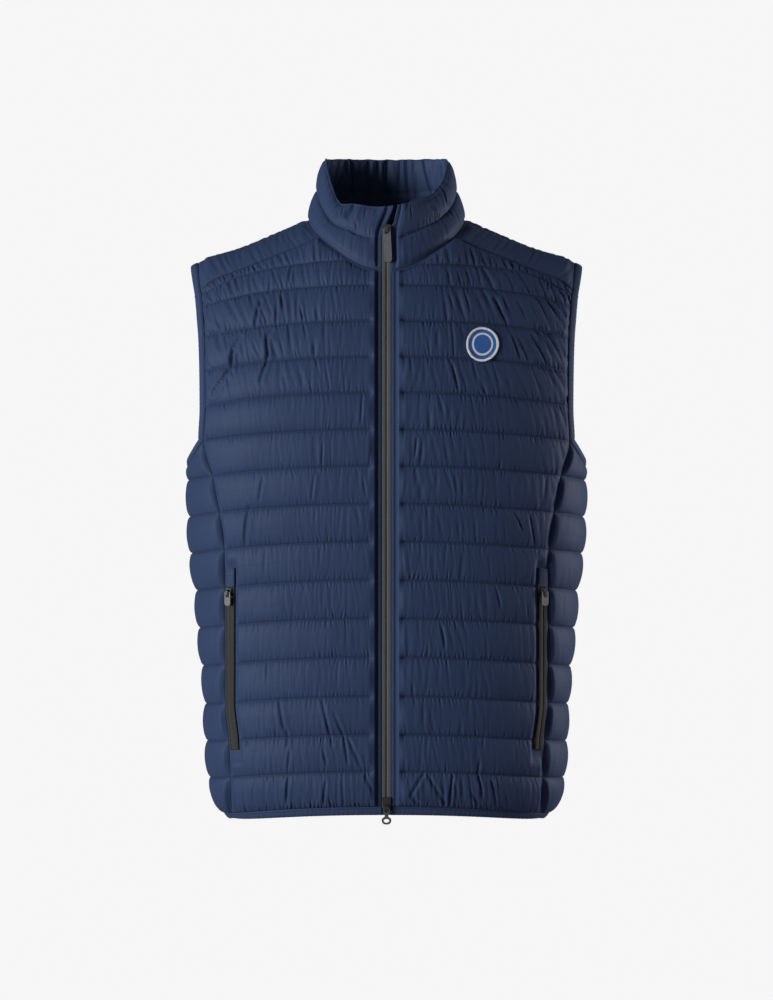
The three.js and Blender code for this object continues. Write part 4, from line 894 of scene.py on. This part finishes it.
# Pocket zips. A coated band with the coil behind it is sewn down both edges beside each side seam. A small
# patch of shell cloth, double stitched across its top, covers its upper end.
BAND_OUTLINE = [(-6.1, 3.3), (-6.1, 4.3), (-5.7, 4.7), (-4.6, 4.85), (-1.2, 4.9), (-0.6, 4.75), (-0.35, 4.5),
                (0.35, 4.5), (0.6, 4.75), (1.2, 4.9), (4.6, 4.85), (5.7, 4.7), (6.1, 4.3), (6.1, 3.3)]
COVER_OUTLINE = [(-6.4, 3.3), (-6.4, 4.6), (-6.0, 5.1), (-5.0, 5.25), (-2.5, 5.4), (0, 5.5),
                 (2.5, 5.4), (5.0, 5.25), (6.0, 5.1), (6.4, 4.6), (6.4, 3.3)]
for side, sign in SIDES:
    flip = np.array([sign, 1, 1])
    for name, outline, first, last, slot, node_name, stitch, pinches in (
            ("pocket_band", BAND_OUTLINE, 1.75, 6.0, "zip_tape", "pocket_zip", 5.0, ()),
            ("pocket_cover", COVER_OUTLINE, 6.012, 6.5, "shell_fabric", "pocket_garage", 5.4, (1.5, 4.2))):
        p = front_points(side, [15.0, 15.5, 16.0], np.linspace(first, last, 90))[0]
        away, normal = unit(p[:, 2] - p[:, 0]), normal_at(p[:, 1])
        strip = sweep(f"{name}_{side}", p[:, 1] * flip, away * flip, normal * flip, outline, False, 0.9, 0.0,
                      181, stitch, pinches)
        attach(strip, "vest")
        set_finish(strip, slot)
        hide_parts(f"{node_name}_{side}")


# Badge. A small round woven badge with a thick embroidered rim, sewn on the left chest over the channels. It
# lies on their crowns and bends with them.
def badge_point(x, z, out):
    level = z + SIDE_DROP * (x / CHEST_HALF) ** ROUND
    share = np.clip((level - line_z(12)) / (line_z(13) - line_z(12)), 0.08, 1)
    rise = PUFF * np.maximum(0.5, crown(share))
    point = np.stack([x, surface_y(FRONT, x, z, CHEST_HALF), z], -1)
    return point + normal_at(point) * (WALL + rise + out)[..., None]


BADGE_THICK = 1.3
bpy.ops.mesh.primitive_cylinder_add(vertices=96, radius=BADGE_RADIUS, depth=BADGE_THICK)
badge = bpy.context.object
badge.name = "chest_badge"
bpy.ops.object.mode_set(mode="EDIT")
bpy.ops.mesh.select_all(action="DESELECT")
bpy.ops.object.mode_set(mode="OBJECT")
for face in badge.data.polygons:
    face.select = face.normal.z > 0.9
bpy.ops.object.mode_set(mode="EDIT")
for thickness, depth in ((0.35, 0.3), (0.8, 0.15), (0.8, -0.15), (0.3, -0.75), (4.0, 0), (4.0, 0), (4.0, 0)):
    bpy.ops.mesh.inset(thickness=thickness, depth=depth)
bpy.ops.mesh.poke()
bpy.ops.object.mode_set(mode="OBJECT")
across_slant = -normal_at(np.array([BADGE_X, surface_y(FRONT, BADGE_X, BADGE_Z, CHEST_HALF), BADGE_Z]))[1]
flat = np.array([v.co for v in badge.data.vertices])
layer = badge.data.uv_layers.active
layer.name = "cloth"
for loop in badge.data.loops:
    layer.data[loop.index].uv = flat[loop.vertex_index, :2] / 1000
out = flat[:, 2] + BADGE_THICK / 2 + 0.4
placed = badge_point(BADGE_X + flat[:, 0] * across_slant, BADGE_Z + flat[:, 1], out)
badge.data.vertices.foreach_set("co", (placed / 1000).astype(np.float32).ravel())
badge.data.shade_smooth()
badge.data.update()
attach(badge, "vest")
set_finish(badge, "badge")
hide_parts("chest_patch")


# Materials of the cloth. The shell is a fine plain weave of navy nylon, the bindings a coarser elastic one,
# and the zip tapes are coated grey. Weave, slubs and stitching are groups that all cloths share.
def node(tree, kind, place=(0, 0), **settings):
    made = tree.nodes.new(kind)
    made.location = place
    for key, value in settings.items():
        setattr(made, key, value)
    return made


def maths(tree, operation, a, b=None, c=None, clamp=False):
    made = node(tree, "ShaderNodeMath", operation=operation, use_clamp=clamp)
    for socket, value in zip(made.inputs, (a, b, c)):
        if isinstance(value, (int, float)):
            socket.default_value = value
        elif value is not None:
            tree.links.new(value, socket)
    return made.outputs[0]


def join(tree, *pairs):
    for source, target in pairs:
        tree.links.new(source, target)


def new_material(name, roughness=None, specular=None):
    material = bpy.data.materials.new(name)
    material.use_nodes = True
    shader = material.node_tree.nodes["Principled BSDF"]
    if roughness:
        shader.inputs["Roughness"].default_value = roughness
    if specular:
        shader.inputs["Specular IOR Level"].default_value = specular
    return material, material.node_tree, shader


def scaled(tree, vector, factor):
    """A colour or place times one factor."""
    made = node(tree, "ShaderNodeVectorMath", operation="SCALE")
    if isinstance(vector, tuple):
        made.inputs[0].default_value = vector
    else:
        tree.links.new(vector, made.inputs[0])
    tree.links.new(factor, made.inputs["Scale"])
    return made.outputs[0]


def relief(tree, shader, height, distance, strength=1.0):
    made = node(tree, "ShaderNodeBump")
    made.inputs["Distance"].default_value = distance
    made.inputs["Strength"].default_value = strength
    join(tree, (height, made.inputs["Height"]), (made.outputs[0], shader.inputs["Normal"]))


def group(name, inputs, outputs):
    tree = bpy.data.node_groups.new(name, "ShaderNodeTree")
    for label, kind, value in inputs:
        socket = tree.interface.new_socket(label, in_out="INPUT", socket_type=kind)
        if value is not None:
            socket.default_value = value
    for label, kind in outputs:
        tree.interface.new_socket(label, in_out="OUTPUT", socket_type=kind)
    return tree, node(tree, "NodeGroupInput", (-900, 0)), node(tree, "NodeGroupOutput", (700, 0))


weave, weave_in, weave_out = group("plain_weave", [
    ("Place", "NodeSocketVector", None), ("Threads per metre", "NodeSocketFloat", 2600.0)],
    [("Height", "NodeSocketFloat"), ("Slub", "NodeSocketFloat")])
split = node(weave, "ShaderNodeSeparateXYZ")
counted = scaled(weave, weave_in.outputs["Place"], weave_in.outputs["Threads per metre"])
weave.links.new(counted, split.inputs[0])
warp, weft = (maths(weave, "SINE", maths(weave, "MULTIPLY", split.outputs[k], math.pi)) for k in (0, 1))
stretch = node(weave, "ShaderNodeVectorMath", operation="MULTIPLY")
stretch.inputs[1].default_value = (900, 45, 1)
slub = node(weave, "ShaderNodeTexNoise", noise_dimensions="2D")
slub.inputs["Scale"].default_value = 1.0
slub.inputs["Detail"].default_value = 2.0
over = maths(weave, "MULTIPLY_ADD", maths(weave, "MULTIPLY", warp, weft), 0.5, 0.5)
join(weave, (weave_in.outputs["Place"], stretch.inputs[0]), (stretch.outputs[0], slub.inputs["Vector"]),
     (over, weave_out.inputs["Height"]), (slub.outputs["Fac"], weave_out.inputs["Slub"]))

stitches, st_in, st_out = group("stitch_line", [
    ("Along", "NodeSocketFloat", 0.0), ("Gap", "NodeSocketFloat", 0.0), ("Stitch", "NodeSocketFloat", 0.0028),
    ("Thread", "NodeSocketFloat", 0.00028)], [("Thread", "NodeSocketFloat"), ("Hole", "NodeSocketFloat")])
beat = maths(stitches, "FRACT", maths(stitches, "DIVIDE", st_in.outputs["Along"], st_in.outputs["Stitch"]))
from_middle = maths(stitches, "ABSOLUTE", maths(stitches, "SUBTRACT", beat, 0.5))
on = maths(stitches, "LESS_THAN", from_middle, 0.36)
gap_size = maths(stitches, "ABSOLUTE", st_in.outputs["Gap"])
threads_away = maths(stitches, "DIVIDE", gap_size, st_in.outputs["Thread"])
thin = maths(stitches, "SUBTRACT", 1.0, threads_away, clamp=True)
hole = maths(stitches, "SUBTRACT", 1.0, maths(stitches, "DIVIDE", gap_size, 0.0006), clamp=True)
between = maths(stitches, "SUBTRACT", 1.0, on)
join(stitches, (maths(stitches, "MULTIPLY", on, thin), st_out.inputs["Thread"]),
     (maths(stitches, "MULTIPLY", hole, between), st_out.inputs["Hole"]))


def cloth_material(name, colour, thread_colour, threads, roughness, sheen, bump):
    material, tree, shader = new_material(name, roughness, 0.09)
    shader.inputs["Sheen Weight"].default_value = sheen
    shader.inputs["Sheen Roughness"].default_value = 0.35
    shader.inputs["Sheen Tint"].default_value = (0.55, 0.72, 1.0, 1)
    cloth = node(tree, "ShaderNodeGroup", node_tree=weave)
    cloth.inputs["Threads per metre"].default_value = threads
    place = node(tree, "ShaderNodeSeparateXYZ")
    line = node(tree, "ShaderNodeGroup", node_tree=stitches)
    mottle = node(tree, "ShaderNodeTexNoise")
    mottle.inputs["Scale"].default_value = 22
    mottle.inputs["Detail"].default_value = 3
    join(tree, (node(tree, "ShaderNodeUVMap", uv_map="cloth").outputs[0], cloth.inputs["Place"]),
         (node(tree, "ShaderNodeAttribute", attribute_name="sewn").outputs["Vector"], place.inputs[0]),
         (place.outputs[0], line.inputs["Along"]), (place.outputs[1], line.inputs["Gap"]),
         (node(tree, "ShaderNodeTexCoord").outputs["Object"], mottle.inputs["Vector"]))
    # Painted shade: the cloth's colour is made up to 35% darker within 1.8 mm of each stitch line, standing
    # in for the shade that falls in the groove between the channels.
    from_line = maths(tree, "DIVIDE", maths(tree, "ABSOLUTE", place.outputs[1]), 0.0018)
    stitch_groove = maths(tree, "SUBTRACT", 1.0, from_line, clamp=True)
    tone = maths(tree, "MULTIPLY_ADD", cloth.outputs["Slub"], 0.22, 0.78)
    tone = maths(tree, "MULTIPLY", tone, maths(tree, "MULTIPLY_ADD", mottle.outputs["Fac"], 0.16, 1.03))
    tone = maths(tree, "MULTIPLY", tone, maths(tree, "MULTIPLY_ADD", stitch_groove, -0.35, 1.0))
    mixed = node(tree, "ShaderNodeMix", data_type="RGBA")
    mixed.inputs["B"].default_value = (*thread_colour, 1)
    join(tree, (line.outputs["Thread"], mixed.inputs["Factor"]),
         (scaled(tree, colour, tone), mixed.inputs["A"]),
         (mixed.outputs["Result"], shader.inputs["Base Color"]))
    height = maths(tree, "MULTIPLY_ADD", line.outputs["Thread"], 3.0, cloth.outputs["Height"])
    height = maths(tree, "MULTIPLY_ADD", line.outputs["Hole"], -5.0, height)
    height = maths(tree, "MULTIPLY_ADD", cloth.outputs["Slub"], 1.5, height)
    relief(tree, shader, height, bump, 0.6)
    return material


NAVY_THREAD = (0.035, 0.052, 0.11)
shell_cloth = cloth_material("navy_nylon", (0.0270, 0.0435, 0.0965), NAVY_THREAD, 2600, 0.55, 0.02, 0.00006)
edge_cloth = cloth_material("navy_elastic", (0.031, 0.049, 0.107), NAVY_THREAD, 1500, 0.62, 0.04, 0.0001)
tape_cloth = cloth_material("coated_tape", (0.082, 0.082, 0.082), (0.06, 0.06, 0.06), 1900, 0.5, 0.0, 0.00005)
BAND_BROWN, BAND_THREAD = (0.031, 0.029, 0.027), (0.025, 0.024, 0.022)
band_cloth = cloth_material("coated_band", BAND_BROWN, BAND_THREAD, 1900, 0.5, 0.0, 0.00005)
for piece in [o for o in scene.objects if "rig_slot" in o and o.type == "MESH" and "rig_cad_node" not in o]:
    kind = {"shell_fabric": shell_cloth, "binding": edge_cloth, "zip_tape": tape_cloth}.get(piece["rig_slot"])
    if kind:
        piece.data.materials.append(band_cloth if piece.name.startswith("pocket_band") else kind)


# Material of the badge. A blue twill field with one thin pale ring, and a pale rim of satin stitches.
badge_cloth, tree, shader = new_material("badge_thread", 0.55, 0.3)
place = node(tree, "ShaderNodeSeparateXYZ")
tree.links.new(node(tree, "ShaderNodeUVMap", uv_map="cloth").outputs[0], place.inputs[0])
u, v = place.outputs[0], place.outputs[1]
radius = maths(tree, "SQRT", maths(tree, "ADD", maths(tree, "MULTIPLY", u, u), maths(tree, "MULTIPLY", v, v)))
spokes = maths(tree, "SINE", maths(tree, "MULTIPLY", maths(tree, "ARCTAN2", v, u), 210.0))
slant = maths(tree, "ADD", maths(tree, "MULTIPLY", u, 0.6), v)
twill = maths(tree, "SINE", maths(tree, "MULTIPLY", slant, 9000.0))
rim = maths(tree, "GREATER_THAN", radius, 0.0162)
ring = maths(tree, "LESS_THAN", maths(tree, "ABSOLUTE", maths(tree, "SUBTRACT", radius, 0.0112)), 0.0011)
pale = maths(tree, "MAXIMUM", rim, ring)
blend = node(tree, "ShaderNodeMix", data_type="RGBA")
tree.links.new(pale, blend.inputs["Factor"])
blend.inputs["A"].default_value = (0.04, 0.14, 0.46, 1)
blend.inputs["B"].default_value = (0.86, 0.88, 0.92, 1)
thread = maths(tree, "ADD", maths(tree, "MULTIPLY", rim, spokes),
               maths(tree, "MULTIPLY", maths(tree, "SUBTRACT", 1.0, rim), twill))
shade = scaled(tree, blend.outputs["Result"], maths(tree, "MULTIPLY_ADD", thread, 0.1, 0.9))
tree.links.new(shade, shader.inputs["Base Color"])
relief(tree, shader, thread, 0.00012)
badge.data.materials.clear()
badge.data.materials.append(badge_cloth)


# Sliders and pulls. Die-cast sliders, the top one in satin gunmetal and the others blackened, run on the
# zips. Their pull tabs have a matte rubbery coat, but the bottom slider's is a small gunmetal ring.
grain, grain_in, grain_out = group("cast_grain", [
    ("Place", "NodeSocketVector", None), ("Size", "NodeSocketFloat", 2500.0)],
    [("Tone", "NodeSocketFloat"), ("Height", "NodeSocketFloat")])
specks, clouds = node(grain, "ShaderNodeTexNoise"), node(grain, "ShaderNodeTexNoise")
clouds.inputs["Scale"].default_value = 180
join(grain, (grain_in.outputs["Place"], specks.inputs["Vector"]),
     (grain_in.outputs["Size"], specks.inputs["Scale"]), (grain_in.outputs["Place"], clouds.inputs["Vector"]),
     (clouds.outputs["Fac"], grain_out.inputs["Tone"]), (specks.outputs["Fac"], grain_out.inputs["Height"]))


def hard_material(name, colour, metallic, roughness, size, bump):
    material, tree, shader = new_material(name)
    shader.inputs["Metallic"].default_value = metallic
    speckle = node(tree, "ShaderNodeGroup", node_tree=grain)
    speckle.inputs["Size"].default_value = size
    tone = speckle.outputs["Tone"]
    join(tree, (node(tree, "ShaderNodeTexCoord").outputs["Object"], speckle.inputs["Place"]),
         (scaled(tree, colour, maths(tree, "MULTIPLY_ADD", tone, 0.4, 0.8)), shader.inputs["Base Color"]),
         (maths(tree, "MULTIPLY_ADD", tone, 0.2, roughness - 0.1), shader.inputs["Roughness"]))
    relief(tree, shader, speckle.outputs["Height"], bump)
    return material


gunmetal = hard_material("satin_gunmetal", (0.26, 0.26, 0.27), 1.0, 0.34, 2600, 0.00001)
blackened = hard_material("blackened_metal", (0.045, 0.045, 0.05), 0.6, 0.45, 2600, 0.00001)
rubbery = hard_material("matte_pull", (0.098, 0.099, 0.108), 0.0, 0.55, 4200, 0.00004)
for names, material in ((("zip_slider_top", "zip_pull_bottom"), gunmetal),
                        (("zip_slider_bottom", "pocket_slider_right", "pocket_slider_left"), blackened),
                        (("zip_pull_top", "pocket_pull_right", "pocket_pull_left"), rubbery)):
    for name in names:
        part = frame["nodes"][name]
        part.data.materials.clear()
        part.data.materials.append(material)


# Floor and light. A pale even sweep under and behind, a large soft light from the left front and a narrower
# one from the right.
PALE, FILL = (0.922, 0.922, 0.922), (0.97, 0.84, 0.93)
BODY_MIDDLE = (0, 0, -0.3)


def glow(tree, kind, lit, output):
    """Looks evenly pale to the camera, and lights the cloth with a dimmer, warmer glow."""
    chosen = node(tree, "ShaderNodeMixShader")
    tree.links.new(node(tree, "ShaderNodeLightPath").outputs["Is Camera Ray"], chosen.inputs[0])
    for k, tint, power in ((1, FILL, lit), (2, PALE, 1.0)):
        light = node(tree, kind)
        light.inputs["Color"].default_value = (*tint, 1)
        light.inputs["Strength"].default_value = power
        tree.links.new(light.outputs[0], chosen.inputs[k])
    tree.links.new(chosen.outputs[0], tree.nodes[output].inputs["Surface"])


floor_material = bpy.data.materials.new("pale_floor")
floor_material.use_nodes = True
glow(floor_material.node_tree, "ShaderNodeEmission", 0.2, "Material Output")
bpy.ops.mesh.primitive_circle_add(vertices=96, radius=30, fill_type="NGON", location=(0, 0, -0.95))
floor = bpy.context.object
floor.name = "floor"
floor.data.materials.append(floor_material)
world = bpy.data.worlds.new("sweep")
scene.world = world
world.use_nodes = True
glow(world.node_tree, "ShaderNodeBackground", 0.1, "World Output")


def soft_light(name, place, wide, tall, power, colour):
    data = bpy.data.lights.new(name, "AREA")
    data.shape = "RECTANGLE"
    data.size, data.size_y = wide, tall
    data.energy = power
    data.color = colour
    light = bpy.data.objects.new(name, data)
    scene.collection.objects.link(light)
    light.location = place
    aim = np.array(BODY_MIDDLE) - np.array(place)
    tilt, turn = math.atan2(math.hypot(aim[0], aim[1]), -aim[2]), math.atan2(aim[0], -aim[1]) + math.pi
    light.rotation_euler = (tilt, 0, turn)


soft_light("key", (-4.4, -3.1, 0.0), 2.0, 2.8, 430, (0.95, 1.0, 1.0))
soft_light("rim", (2.4, 0.45, -0.1), 0.8, 1.8, 55, (1, 1, 1))
